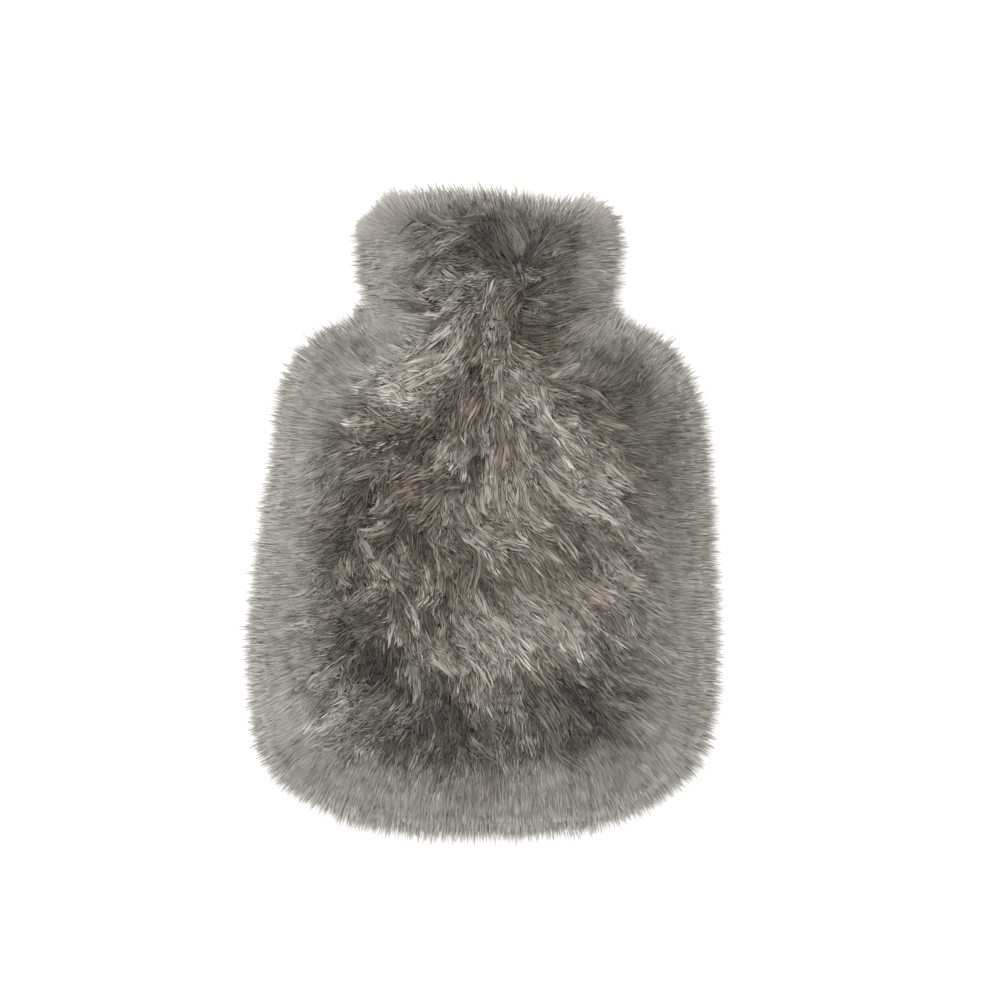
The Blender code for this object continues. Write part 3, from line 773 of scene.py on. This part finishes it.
# the depth shade is painted shade: how much darker the lower strands of a lock are
frontLook = {
    "spacing": 6.4, "length": (26, 44), "lockWidth": (7, 15), "stray": 0.30, "bend": 0.024, "depth": 3.0,
    "uneven": 2.2, "strands": 64, "density": 4.4, "tufts": 3, "steps": 8, "startSpread": 0.35,
    "endSpread": 0.25, "point": 0.15, "gather": 0.2, "thickness": 3.6, "drift": 0.8, "loose": 0.45,
    "lift": 0.6, "ownPhase": 0.18, "roll": 0.12, "paintedDepthShade": 0.22, "tuftShade": 0.06, "strandShade": 0.10,
    "strandWidth": (0.15, 0.32), "lockShade": 0.17, "crimp": (0.35, 0.9), "wavelength": (9, 15),
    "overshoot": (4.0, 14.0), "sink": 7.0,
}


def flowHeading(x, y):
    return np.arctan2(read(flowY, x, y), read(flowX, x, y))


def layLocks(x, y, length, depth, chance, look, knots=13):
    # guides whose middles are at x, y: they rise out of the wool, then lie along the flow, each
    # bending its own way, and end before the wool's outline
    half = knots - 1
    mess = 0.25 + 0.75 * read(messy, x, y)
    stray = chance.normal(0, look["stray"], len(x)) * mess
    curl = chance.normal(0, look["bend"], len(x)) * mess
    front = np.maximum(read(room, x, y) - chance.uniform(*look["overshoot"], len(x)), 2)
    front = np.minimum(length * 0.5, front)
    points = {0: np.stack([x, y], -1)}
    for way, run in ((1, front), (-1, length * 0.5)):
        placeX, placeY, stride = x, y, run / half
        heading = flowHeading(x, y) + stray
        for step in range(1, half + 1):
            off = np.angle(np.exp(1j * (flowHeading(placeX, placeY) - heading)))
            heading = heading + off * 0.07 * stride + way * curl * stride
            placeX = placeX + way * np.cos(heading) * stride
            placeY = placeY + way * np.sin(heading) * stride
            points[way * step] = np.stack([placeX, placeY], -1)
    path = np.stack([points[key] for key in sorted(points)], 1)[:, ::2]
    along = np.linspace(0, 1, path.shape[1])[None]
    z = readAt(woolTop, path) - depth[:, None] - look["sink"] * (1 - ease(along / 0.42))
    return np.concatenate([path, z[..., None]], -1)


def frontWool(look, keep, seed):
    # locks of combed wool that lie over each other like shingles, in random order of height
    chance = np.random.default_rng(seed)
    x, y = scatter(look["spacing"], keep, chance)
    share, count = read(middleShare, x, y), len(x)
    length = chance.uniform(*look["length"], count) * (0.8 + 0.2 * share)
    depth = look["depth"] + chance.uniform(-1, 1, count) * look["uneven"] * share
    guides = layLocks(x, y, length, depth, chance, look)
    calm = 0.2 + 0.4 * share + 0.4 * read(messy, x, y)
    shade = baseShade(x, y) + chance.normal(0, look["lockShade"], count) * calm
    wavelength = chance.uniform(*look["wavelength"], count)
    crimp = crimpOf(guides, length, wavelength, chance.uniform(*look["crimp"], count) * calm, chance)
    width = chance.uniform(*look["lockWidth"], count)
    return bundleStrands(guides, look, width, shade, crimp, chance, calm)


def frontPart(low, high, rimLow=21, rimHigh=400):
    # true where low <= y < high and the point lies rimLow to rimHigh inside the outline
    def keep(x, y):
        clear = read(room, x, y)
        return (clear > rimLow) & (clear < rimHigh) & (y >= low) & (y < high)

    return keep


woolPieces = [
    woolPiece("front_wool_" + label, fineWool, frontWool(frontLook, frontPart(low, high, rimLow), seed))
    for label, low, high, rimLow, seed in (
        ("foot", -200, -80, 21, 31), ("low", -80, -15, 21, 32), ("high", -15, 60, 21, 33),
        ("neck", 60, 190, 14, 34))
]

wispLook = dict(
    frontLook, spacing=12.0, length=(16, 30), lockWidth=(10, 22), stray=0.9, bend=0.05, depth=-0.2,
    strands=7, density=0.35, strandWidth=(0.16, 0.28), paintedDepthShade=0.1, crimp=(0.3, 0.8), drift=3.0,
    loose=2.0, lift=1.2,
)
woolPieces.append(woolPiece("stray_hair", fineWool, frontWool(wispLook, frontPart(-200, 190), seed=41)))

rimFrontLook = dict(
    frontLook, spacing=4.6, length=(28, 44), lockWidth=(6, 11), stray=0.17, bend=0.010, depth=1.2,
    strands=24, density=2.6, tufts=5, gather=0.15, thickness=1.2, loose=0.5, lift=0.3, paintedDepthShade=0.05,
    tuftShade=0.03, strandShade=0.03, lockShade=0.07, crimp=(0.1, 0.35), overshoot=(1.5, 13.0),
    sink=3.0, startSpread=0.2, steps=6, ownPhase=0.3,
)
rimFront = woolPiece("rim_wool", paleWool, frontWool(rimFrontLook, frontPart(-200, 190, 9, 37), seed=51))
woolPieces.append(rimFront)

# Locks that lie on top, drawn one by one: width, shade, then the places they pass, root first.
topLocks = [
    (9, 0.80, [(-8, 91), (-31, 86), (-51, 80), (-68, 75)]),
    (10, 0.86, [(-2, 88), (-17, 83), (-34, 76), (-51, 68), (-64, 63)]),
    (9, 0.76, [(-11, 76), (-25, 70), (-41, 59), (-49, 52)]),
    (10, 0.82, [(11, 74), (22, 78), (30, 71), (34, 58), (41, 48), (53, 42), (65, 39)]),
    (6, 0.56, [(26, 75), (44, 72), (61, 68), (72, 58), (89, 43)]),
    (9, 0.72, [(32, 52), (42, 37), (58, 25), (74, 19)]),
    (9, 0.78, [(27, 32), (39, 17), (55, 5), (70, 0)]),
    (6, 0.80, [(66, 4), (79, -5), (93, -15)]),
    (9, 0.68, [(9, 58), (13, 38), (11, 18), (13, 4)]),
    (6, 0.70, [(18, 41), (23, 24), (26, 9)]),
    (12, 0.72, [(-10, 18), (-10, 4), (-3, -9), (11, -16), (26, -18)]),
    (8, 0.74, [(3, 12), (5, 0), (14, -9), (25, -7)]),
    (4, 0.90, [(65, -20), (68, -29), (73, -37), (87, -38)]),
    (5, 0.82, [(60, -25), (64, -33), (69, -40)]),
    (12, 0.85, [(26, -44), (39, -58), (49, -74), (56, -87)]),
    (10, 0.75, [(35, -39), (52, -51), (65, -65), (72, -79)]),
    (10, 0.80, [(9, -50), (21, -63), (29, -78), (30, -90)]),
    (10, 0.80, [(-17, -51), (-8, -65), (3, -79), (16, -90)]),
    (6, 0.80, [(-37, -72), (-23, -79), (-13, -92)]),
    (8, 0.72, [(9, -90), (11, -102), (8, -117)]),
    (5, 0.78, [(1, -96), (0, -108), (2, -120)]),
    (8, 0.80, [(-3, 41), (-11, 32), (-19, 26)]),
    (5, 0.84, [(-68, 24), (-60, 27), (-50, 28), (-42, 21)]),
    (7, 0.78, [(-81, 37), (-88, 32), (-98, 27), (-108, 21)]),
    (6, 0.78, [(-82, 32), (-90, 24), (-96, 15)]),
    (5, 0.80, [(-85, 24), (-89, 15), (-86, 7)]),
    (5, 0.84, [(-72, -5), (-67, -19), (-60, -31), (-49, -43)]),
    (6, 0.85, [(-87, -32), (-79, -37), (-72, -45)]),
    (6, 0.78, [(-46, 12), (-54, 4), (-65, -5)]),
    (8, 0.82, [(6, 123), (7, 114), (5, 104), (6, 88)]),
    (4, 0.90, [(9, 110), (13, 101), (11, 91)]),
    (4, 0.80, [(1, 111), (-1, 103), (3, 92)]),
    (6, 0.84, [(1, 127), (-4, 119), (-11, 111), (-22, 104)]),
    (4, 0.84, [(-9, 128), (-15, 123), (-21, 121)]),
    (4, 0.84, [(9, 136), (-2, 135), (-14, 131), (-21, 130)]),
    (5, 0.78, [(-27, 149), (-34, 146), (-44, 138)]),
    (2.5, 0.92, [(21, 139), (25, 133), (31, 130), (34, 136)]),
    (2, 0.88, [(23, 142), (26, 137), (32, 135)]),
    (2, 0.88, [(34, 146), (39, 145), (44, 150)]),
    (3, 0.84, [(26, 121), (32, 119), (38, 121)]),
    (3, 0.84, [(21, 121), (19, 114), (23, 108)]),
    (3, 0.82, [(29, 118), (30, 113), (27, 108)]),
    (8, 0.74, [(86, 67), (90, 75), (95, 84), (98, 92)]),
    (6, 0.74, [(47, 88), (50, 95), (58, 101), (62, 107)]),
    (6, 0.72, [(55, 80), (57, 90), (61, 98)]),
    (6, 0.76, [(-73, -80), (-88, -90), (-102, -100), (-115, -110)]),
    (7, 0.74, [(-77, -102), (-91, -112), (-108, -125)]),
    (4, 0.74, [(-57, -102), (-68, -99), (-80, -103)]),
    (4, 0.70, [(-78, -109), (-71, -116), (-60, -117)]),
    (2.5, 0.84, [(-66, -135), (-65, -143), (-68, -157)]),
    (5, 0.72, [(-18, -149), (-23, -154), (-26, -159)]),
    (5, 0.80, [(68, -106), (77, -110), (87, -115)]),
    (2, 0.98, [(-9, 70), (-6, 71), (-2, 72)]),
]
topLook = dict(
    frontLook, strands=110, density=8.0, steps=10, startSpread=0.55, endSpread=0.45, thickness=2.0,
    drift=1.4, loose=1.0, lift=0.4, paintedDepthShade=0.16, strandWidth=(0.13, 0.26), wavelength=(9, 13),
    crimp=(0.5, 1.0), above=0.6, rootSink=4.5, tipSink=1.5, darker=0.16,
)


def topWool():
    # the drawn locks, laid just over the wool with their roots and tips tucked in
    look, chance = topLook, np.random.default_rng(44)
    knots = 18
    paths = np.stack([smoothThrough(places, knots) for _, _, places in topLocks])
    length = np.linalg.norm(np.diff(paths, axis=1), axis=-1).sum(axis=1)
    along = np.linspace(0, 1, knots)[None]
    z = readAt(woolTop, paths) + look["above"] - look["rootSink"] * (1 - ease(along / 0.35))
    z = z - look["tipSink"] * ease((along - 0.7) / 0.3)
    guides = np.concatenate([paths, z[..., None]], -1)
    width, shade = (np.array([row[column] for row in topLocks], float) for column in (0, 1))
    wavelength, size = (chance.uniform(*look[key], len(guides)) for key in ("wavelength", "crimp"))
    crimp = crimpOf(guides, length, wavelength, size, chance)
    return bundleStrands(guides, look, width, shade - look["darker"], crimp, chance)


woolPieces.append(woolPiece("top_locks", fineWool, topWool()))

# The rim's strands: how far under (-1) and over (1) the rim they climb, which part of the way from
# root to tip they show, how far they reach between the root and the outline and how far past that.
sideLook = {
    "strands": 17000, "groups": 4000, "steps": 5, "width": (0.3, 0.6), "gather": 0.3, "spread": 2.4,
    "turn": 0.09, "reach": 0.82, "tail": 0.02, "uneven": 0.25, "scatter": 0.12,
    "climb": (-0.9, 0.3), "shown": (0.3, 1.0),
}
fringeLook = {
    "strands": 60000, "groups": 60000, "steps": 4, "width": (0.11, 0.22), "gather": 0.0, "spread": 0.2,
    "turn": 0.05, "reach": 0.89, "tail": 0.125, "uneven": 0.02, "scatter": 0.16,
    "climb": (-0.4, 0.4), "shown": (0.5, 1.0),
}
# Both kinds: how far in their roots and tips lie over and under the seam, how steeply they start
# there (degrees), and how much the heights of the tips differ by chance and in waves.
rimForm = {
    "rootOver": 24, "rootUnder": 9, "tipOver": 7, "tipUnder": 15, "steep": 12, "steepOver": 62,
    "steepUnder": 40, "uneven": 3.2, "waves": 4,
}
edgeLength = np.linalg.norm(np.diff(edge, axis=0), axis=1).sum()


def rimStrands(look, seed):
    # strands from the skin near the sewn edge to the wool's outline, each a quadratic curve from
    # root to tip that starts steeply; the strands of a group draw together at their tips; few
    # reach much farther than the rest: reach - tail log(1 - q) with q even
    chance, rim, seam = np.random.default_rng(seed), rimForm, form["seamHeight"]
    count, groups = look["strands"], look["groups"]
    group = np.arange(count) % groups
    groupShare = (np.arange(groups) + chance.uniform(0, 1, groups)) / groups
    groupClimb = blend(*look["climb"], evenly(groups, "climb"))
    groupTurn = chance.normal(0, look["turn"], groups)
    groupReach = look["reach"] - look["tail"] * np.log(1 - 0.99 * evenly(groups, "reach"))

    def spine(share, climb, turnBy, reachBy):
        # the root, its outward normal, the tip in plan, and how far in the root lies
        over, under = np.clip(climb, 0, 1), np.clip(-climb, 0, 1)
        rootIn = rim["rootOver"] * over**1.2 + rim["rootUnder"] * under
        outline, normal = edgeAt(share, form["pile"])
        pile = form["pile"] + readAt(bulge, outline)
        tipIn = blend(-pile, rim["tipOver"], over**1.35) + rim["tipUnder"] * under**1.5
        root = edgeAt(share, -rootIn)[0]
        lay = np.stack([readAt(flowX, root), readAt(flowY, root)], -1)
        turn = turnBy + 0.12 * softNoise(share * edgeLength, climb * 20, length=26, seed=72)
        aside = np.stack([-normal[:, 1], normal[:, 0]], -1)
        aim = unit(normal + 0.45 * lay + aside * turn[:, None])
        ahead = np.maximum((aim * normal).sum(-1), 0.6)
        return root, normal, root + aim * ((rootIn - tipIn) / ahead * reachBy)[:, None], rootIn

    share = np.clip(groupShare[group] + chance.normal(0, look["spread"], count) / edgeLength, 0, 1)
    climb = np.clip(groupClimb[group] + chance.normal(0, look["scatter"], count), -0.95, 0.75)
    over, under = np.clip(climb, 0, 1), np.clip(-climb, 0, 1)
    reachBy = groupReach[group] - chance.uniform(0, look["uneven"], count)
    reachBy = reachBy + 0.035 * softNoise(share * edgeLength, climb * 10, length=7, seed=73)
    turnBy = groupTurn[group] + chance.normal(0, 0.05, count)
    root, normal, tip, rootIn = spine(share, climb, turnBy, reachBy)
    shared = spine(groupShare[group], groupClimb[group], groupTurn[group], reachBy)[2]
    tip = blend(tip, shared, look["gather"])
    rounding = domeRise(rootIn, form["cavityRounding"])
    rootZ = seam + np.where(climb > 0, form["cavityRise"] * rounding, -(form["cavityFall"] * rounding))
    tipTop = readAt(woolTop, tip) - chance.exponential(1.4, count)
    table = 0.8 + chance.uniform(0, 4, count)
    high = blend(seam, np.maximum(tipTop, seam + 17 * over), ease(over / 0.36))
    tipZ = np.where(climb > 0, high, blend(seam, table, ease(under / 0.6)))
    waves = softNoise(share * edgeLength, climb * 20, length=24, seed=74)
    tipZ = tipZ + chance.normal(0, rim["uneven"], count) + rim["waves"] * waves
    tipZ = np.clip(tipZ, table, tipTop + 2)
    start = np.concatenate([root, rootZ[:, None]], -1)
    end = np.concatenate([tip, tipZ[:, None]], -1)
    steep = np.radians(rim["steep"] + rim["steepOver"] * over - rim["steepUnder"] * under)
    lead = 0.5 * np.linalg.norm(end - start, axis=-1)
    aim = unit(tip - root)
    slope = np.concatenate([aim * np.cos(steep)[:, None], np.sin(steep)[:, None]], -1)
    t = blend(*look["shown"], np.linspace(0, 1, look["steps"]))[None, :, None]
    paths = throughTurn(start, start + slope * lead[:, None], end, t)
    wave = chance.uniform(0, 1, groups)[group][:, None]
    wave = 2 * math.pi * (wave + t[..., 0] * chance.uniform(1.2, 2.4, count)[:, None])
    sway = chance.uniform(0.1, 0.45, count)[:, None] * np.sin(wave)
    paths[..., :2] += np.stack([-aim[:, 1], aim[:, 0]], -1)[:, None] * sway[..., None]
    paths[..., 2] = np.maximum(paths[..., 2], 0.6)
    place = (tip + root) / 2
    shade = baseShade(place[:, 0], place[:, 1]) + chance.normal(0, 0.05, groups)[group]
    # the strands that reach farthest are lighter: painted light through the outermost tips
    shade = shade + chance.normal(0, 0.05, count) + 0.8 * np.clip(reachBy - 0.95, 0, 0.25)
    up = unit(np.concatenate([normal * 0.4, np.ones((count, 1))], -1))
    return bentStrands(paths, up, t, shade, look, chance, readAt(room, tip) > -9)


sideWool = woolPiece("side_wool", paleWool, rimStrands(sideLook, seed=7))
fringe = woolPiece("rim_fringe", paleWool, rimStrands(fringeLook, seed=8))
woolPieces += [sideWool, fringe]

mouthLook = {
    "strands": 16000, "steps": 5, "width": (0.15, 0.30), "rootBack": 15,
    "reach": 14.3, "tail": 5.7, "shorter": (6.5, 7.5),  # less far on the left and on the right
    "thick": 22.0, "thickMiddle": 16.0, "thickBack": 11.0, "thickEnds": (26.0, 24.0),
    "lean": (-7, 6),
}


def mouthArc(turn, grow):
    # the hollow's section at the mouth, moved out by grow: x and z at a turn from 0 to 1; the
    # front's half comes first, from left to right
    left, right = form["sewnEdge"][0][1] - grow, form["sewnEdge"][0][2] + grow
    front = turn < 0.5
    x = halfTurn(left, right, np.where(front, turn, 1 - turn) * 2 * math.pi)
    size = np.where(front, form["cavityRise"], -form["cavityFall"]) + np.where(front, grow, -grow)
    return x, form["seamHeight"] + size * domeRise(np.minimum(x - left, right - x), form["cavityRounding"])


def mouthStrands(look, seed):
    # strands round the open mouth, from its skin's edge past the neck's end: out along the
    # section's normal and on along +y, straight on at climb 0 and over the rim at climb 1
    count, chance = look["strands"], np.random.default_rng(seed)
    turn = (np.arange(count) + chance.uniform(0, 1, count)) / count
    climb = evenly(count, "climb") ** 0.8
    x, z = mouthArc(turn, form["skin"])
    step = 0.004
    dx, dz = (b - a for a, b in zip(mouthArc((turn - step) % 1, 1), mouthArc((turn + step) % 1, 1)))
    outward = unit(np.stack([-dz, np.zeros(count), dx], -1))
    root = np.stack([x, form["mouth"] - 0.5 - look["rootBack"] * climb, z], -1)
    front = turn < 0.5
    frontMiddle = ease((0.5 - np.abs(turn - 0.25) * 2) * 4)
    thick = np.where(front, blend(look["thick"], look["thickMiddle"], frontMiddle), look["thickBack"])
    ends = ease(np.abs(np.where(front, turn * 4 - 1, (turn - 0.5) * 4 - 1)) * 3 - 2)
    thick = blend(thick, np.where(x < 0, *look["thickEnds"]), ends)
    out = thick * (0.1 + 0.9 * np.sin(climb * math.pi / 2))
    left, right = look["shorter"]
    shorter = left * ease((-25 - x) / 35) * (1 - 0.45 * ends) + right * ease((x - 5) / 50) * (1 - 0.3 * ends)
    reach = look["reach"] - shorter - look["tail"] * np.log(1 - 0.95 * evenly(count, "reach"))
    tip = root + outward * out[:, None]
    tip[:, 1] += reach * np.sqrt(1 - 0.8 * climb**3)
    lean = blend(*look["lean"], ease((x + 5) / 60)) * (1 - ends) + chance.normal(0, 1.2, count)
    tip[:, 0] += lean + 2.0 * softNoise(x, climb * 20, length=16, seed=77)
    tip[:, 2] = np.clip(tip[:, 2], 0.8 + chance.uniform(0, 3, count), 72)
    lead = unit(outward * (0.15 + climb)[:, None] + np.array([0, 0.8, 0]))
    t = blend(0.05, 1.0, np.linspace(0, 1, look["steps"]))[None, :, None]
    paths = throughTurn(root, root + lead * 11, tip, t)
    wave = 2 * math.pi * (chance.uniform(0, 1, count)[:, None] + t[..., 0] * 1.6)
    paths[..., 0] += chance.uniform(0.1, 0.4, count)[:, None] * np.sin(wave)
    place = blend(root, tip, 0.6)
    shade = baseShade(place[:, 0], np.minimum(place[:, 1], 170))
    shade = shade + 0.06 * softNoise(x, climb * 30, length=8, seed=78)
    # the longer strands are lighter: painted light through their outer tips
    shade = shade + chance.normal(0, 0.07, count) + 0.03 * np.clip(reach + shorter - 17, 0, 10)
    return bentStrands(paths, unit(outward + np.array([0, 0.3, 0.3])), t, shade, look, chance)


mouthWool = woolPiece("mouth_fringe", paleWool, mouthStrands(mouthLook, seed=9))
woolPieces.append(mouthWool)

backLook = dict(
    frontLook, spacing=9.0, length=(26, 38), lockWidth=(10, 16), strands=9, density=0.6, steps=6,
    gather=0.5, thickness=2.0, lift=0.1, paintedDepthShade=0.2, strandWidth=(1.3, 2.2), overshoot=(16, 24),
    wavelength=(10, 15), crimp=(0.2, 0.6), shade=0.5, lockShade=0.08,
)


def backWool():
    # the back's locks, combed down and outwards and pressed flat on what the cover lies on
    look, chance = backLook, np.random.default_rng(61)
    x, y = scatter(look["spacing"], lambda x, y: (read(inside, x, y) > 0) & (y < 155), chance)
    count = len(x)
    length = np.minimum(chance.uniform(*look["length"], count), read(inside, x, y) + 20)
    guides = layLocks(x, y, length, np.zeros(count), chance, look)
    along = np.linspace(0, 1, guides.shape[1])[None]
    guides[..., 2] = 1.0 + chance.uniform(0, 1.6, count)[:, None] + 4 * (1 - ease(along / 0.4))
    shade = look["shade"] + chance.normal(0, look["lockShade"], count)
    wavelength, size = (chance.uniform(*look[key], count) for key in ("wavelength", "crimp"))
    crimp = crimpOf(guides, length, wavelength, size, chance)
    strands = bundleStrands(guides, look, chance.uniform(*look["lockWidth"], count), shade, crimp, chance)
    strands[0][..., 2] = np.maximum(strands[0][..., 2], 0.7)
    return strands


backPiece = woolPiece("back_wool", paleWool, backWool())


def sectionEnds(field, level, y):
    # the left and right x where each section across the cover meets the field's level
    rows = read(field, np.broadcast_to(lineX, (len(y), len(lineX))), y[:, None]) - level
    hit = rows > 0
    first, last = hit.argmax(axis=1), len(lineX) - 1 - hit[:, ::-1].argmax(axis=1)
    each = np.arange(len(y))
    left = lineX[first] - rows[each, first] / np.maximum(rows[each, first] - rows[each, first - 1], 1e-6)
    right = lineX[last] + rows[each, last] / np.maximum(rows[each, last] - rows[each, last + 1], 1e-6)
    return left, right


massLook = {
    "reach": 13.0, "rows": 150, "innerRows": 36, "over": 130, "under": 40,
    "depth": 5.0, "rimDepth": 2.8, "grain": 1.0,  # how far it lies under the wool's top
}


def massWall(y, field, level, topOf, lowOf):
    # closed sections across the cover, over the front from left to right and back under it
    left, right = (ends[:, None] for ends in sectionEnds(field, level, y))
    over = massLook["over"]
    x = halfTurn(left, right, np.linspace(0, math.pi, over)[None])
    yy = np.broadcast_to(y[:, None], x.shape)
    deep = read(field, x, yy) - level
    topZ, lowZ = topOf(x, yy, deep), lowOf(x, yy, deep)
    pick = np.linspace(over - 2, 1, massLook["under"]).round().astype(int)
    return np.concatenate([np.stack([x, yy, topZ], -1), np.stack([x, yy, lowZ], -1)[:, pick]], axis=1)


def woolMass():
    # the dense wool under the strands: a thick sock whose inner wall lies round the skins, with a
    # rounded lip at the mouth and a pole at the end of each wall
    look, seam = massLook, form["seamHeight"]

    def topOf(x, y, deep):
        depth = blend(look["rimDepth"], look["depth"], read(middleShare, x, y))
        top = read(woolTop, x, y) - depth + look["grain"] * read(fibre, x, y) * ease(deep / 14)
        return seam + np.maximum(top - seam, 0) * domeRise(deep, 20)

    def lowOf(x, y, deep):
        return seam - (seam - 4.0) * domeRise(deep, 16)

    def hollow(size):
        return lambda x, y, deep: seam + size * domeRise(deep, form["cavityRounding"])

    gap = form["skin"] + 0.3
    level = form["pile"] - look["reach"]
    lowest = lineY[(sideRoom > level).any(axis=1)][0] + 0.5
    outerY = blend(form["mouth"] + 10, lowest, closing(look["rows"]))
    outer = massWall(outerY, sideRoom, level, topOf, lowOf)
    innerY = blend(form["mouth"] + 0.5, form["bottom"] - gap + 0.2, closing(look["innerRows"]))
    rise, fall = form["cavityRise"] + gap, form["cavityFall"] + gap
    inner = massWall(innerY, inside, -gap, hollow(rise), hollow(-fall))
    share = np.linspace(0, 1, 9)[1:-1, None, None]
    lip = blend(inner[:1], outer[:1], share)
    lip[..., 1] = blend(inner[0, 0, 1], outer[0, 0, 1], np.sin(share[..., 0] * math.pi / 2))
    rows = np.concatenate([inner[::-1], lip, outer])
    count, columns, _ = rows.shape
    poles = np.array([rows[0].mean(axis=0), rows[-1].mean(axis=0)])
    poles[:, 1] -= 0.1
    poles[:, 2] = seam
    verts = np.vstack([rows.reshape(-1, 3), poles])
    i = np.arange(columns)
    j = (i + 1) % columns
    lastRow, pole = (count - 1) * columns, count * columns
    caps = [
        np.stack([j, i, np.full(columns, pole)], -1),
        np.stack([lastRow + i, lastRow + j, np.full(columns, pole + 1)], -1),
    ]
    triangles = np.concatenate([gridTriangles(count, columns, True), *caps])
    # the mass is darker than the wool over it, most in the middle: painted shade of the deep wool between
    # the strands; near the outline it takes back most of the painted light at the tips
    shade = baseShade(verts[:, 0], np.minimum(verts[:, 1], 165)) - 0.05 - 0.10 * readAt(middleShare, verts)
    shade = shade + 0.07 * readAt(fibre, verts) - 0.16 * (1 - ease(readAt(room, verts) / 16))
    uv = np.stack([np.full(len(verts), 0.6), np.clip(shade, 0.02, 0.98)], -1)
    print("wool mass", len(triangles), "triangles")
    return meshPiece("wool_mass", verts, triangles, uv)


mass = woolMass()
mass.data.materials.append(woolFinish("denseWool"))
woolPieces.append(mass)

skinLook = {
    "rows": 64, "columns": 44, "colour": (0.42, 0.37, 0.31), "darker": (0.30, 0.26, 0.215),
    "patchScale": 30, "napScale": 1400, "napDepth": 0.0004,
}


def skinFinish():
    # suede: slow darker patches in its colour and a fine nap in its height
    material, tree, shader = newFinish("suede", {"Roughness": 0.9, "Sheen Weight": 0.2})
    look, place = skinLook, addNode(tree, "TexCoord", {})["Object"]
    patches = addNode(tree, "TexNoise", {"Vector": place, "Scale": look["patchScale"], "Detail": 6})[0]
    colour = toneRamp(tree, patches, (0.3, 0.7), (look["darker"], look["colour"]))
    nap = addNode(tree, "TexNoise", {"Vector": place, "Scale": look["napScale"]})[0]
    bump = addNode(tree, "Bump", {"Strength": 0.35, "Distance": look["napDepth"], "Height": nap})[0]
    tree.links.new(colour, shader.inputs["Base Color"])
    tree.links.new(bump, shader.inputs["Normal"])
    return material


suede = skinFinish()


def skinSheet(name, size, way):
    # one skin: z = seam + way * (0.9 + size * domeRise(distance inside the edge)), which Solidify
    # thickens outwards
    look, seam = skinLook, form["seamHeight"]
    y = blend(form["mouth"], form["bottom"] + 0.3, closing(look["rows"]))
    left, right = (ends[:, None] for ends in sectionEnds(inside, 0.0, y))
    x = halfTurn(left, right, np.linspace(0, math.pi, look["columns"])[None])
    yy = np.broadcast_to(y[:, None], x.shape)
    deep = np.maximum(read(inside, x, yy), 0)
    z = seam + way * (0.9 + size * domeRise(deep, form["cavityRounding"]))
    verts = np.stack([x, yy, z], -1).reshape(-1, 3)
    triangles = gridTriangles(look["rows"], look["columns"])
    if way < 0:
        triangles = triangles[:, ::-1]
    sheet = meshPiece(name, verts, triangles)
    sheet.data.materials.append(suede)
    areas = np.empty(len(triangles), np.float32)
    sheet.data.polygons.foreach_get("area", areas)
    print(name, "area", round(float(areas.sum()), 4))
    thicken = sheet.modifiers.new("thickness", "SOLIDIFY")
    thicken.thickness = form["skin"] * mm
    thicken.offset = -1
    return sheet


frontSkin = skinSheet("front_skin", form["cavityRise"], 1)
backSkin = skinSheet("back_skin", form["cavityFall"], -1)
for skin, node, others in ((frontSkin, "front_panel", woolPieces), (backSkin, "back_panel", [backPiece])):
    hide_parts(node)
    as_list(others)
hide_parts("seam_wool")
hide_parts("mouth_wool")

studio = {
    "floor": 12.0, "glow": 0.3, "sky": 1.26, "lamp": 22.0, "lampSize": 0.9, "lampPlace": (-0.3, 0.4, 1.9),
    "cameraHeight": 4.0, "frameWidth": 572.5, "centre": (9.2, 6.6), "focus": 30.0,
}


def makeStudio():
    # a white floor, an even white sky, one soft lamp and a camera that looks straight down
    bpy.ops.mesh.primitive_plane_add(size=studio["floor"])
    floor = bpy.context.object
    floor.name = "floor"
    finish = newFinish("floorWhite", {
        "Base Color": (0.98, 0.98, 0.98, 1), "Roughness": 0.9,
        "Emission Color": (1, 1, 1, 1), "Emission Strength": studio["glow"]})[0]
    floor.data.materials.append(finish)
    floor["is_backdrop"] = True
    world = bpy.data.worlds.new("studio")
    bpy.context.scene.world = world
    world.use_nodes = True
    sky = world.node_tree.nodes["Background"].inputs
    sky[0].default_value, sky[1].default_value = (1, 1, 1, 1), studio["sky"]
    lamp = bpy.data.lights.new("softbox", "AREA")
    lamp.energy, lamp.size = studio["lamp"], studio["lampSize"]
    box = bpy.data.objects.new("softbox", lamp)
    x, y, z = box.location = studio["lampPlace"]
    box.rotation_euler = (0, math.atan2(math.hypot(x, y), z), math.atan2(y, x))
    bpy.context.scene.collection.objects.link(box)
    lens = bpy.data.cameras.new("camera")
    camera = bpy.data.objects.new("camera", lens)
    camera.location = (studio["centre"][0] * mm, studio["centre"][1] * mm, studio["cameraHeight"])
    lens.sensor_width = 36
    lens.lens = 36 * (studio["cameraHeight"] - studio["focus"] * mm) / (studio["frameWidth"] * mm)
    lens.clip_end = 50
    bpy.context.scene.collection.objects.link(camera)
    bpy.context.scene.camera = camera
    bpy.context.scene.view_settings.view_transform = "Standard"


makeStudio()
newLow, newHigh = (list(corner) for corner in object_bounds())
for label, low, high in (("cad", cadLow, cadHigh), ("visual", newLow, newHigh)):
    print(label, [round(1000 * value, 1) for value in low + high])
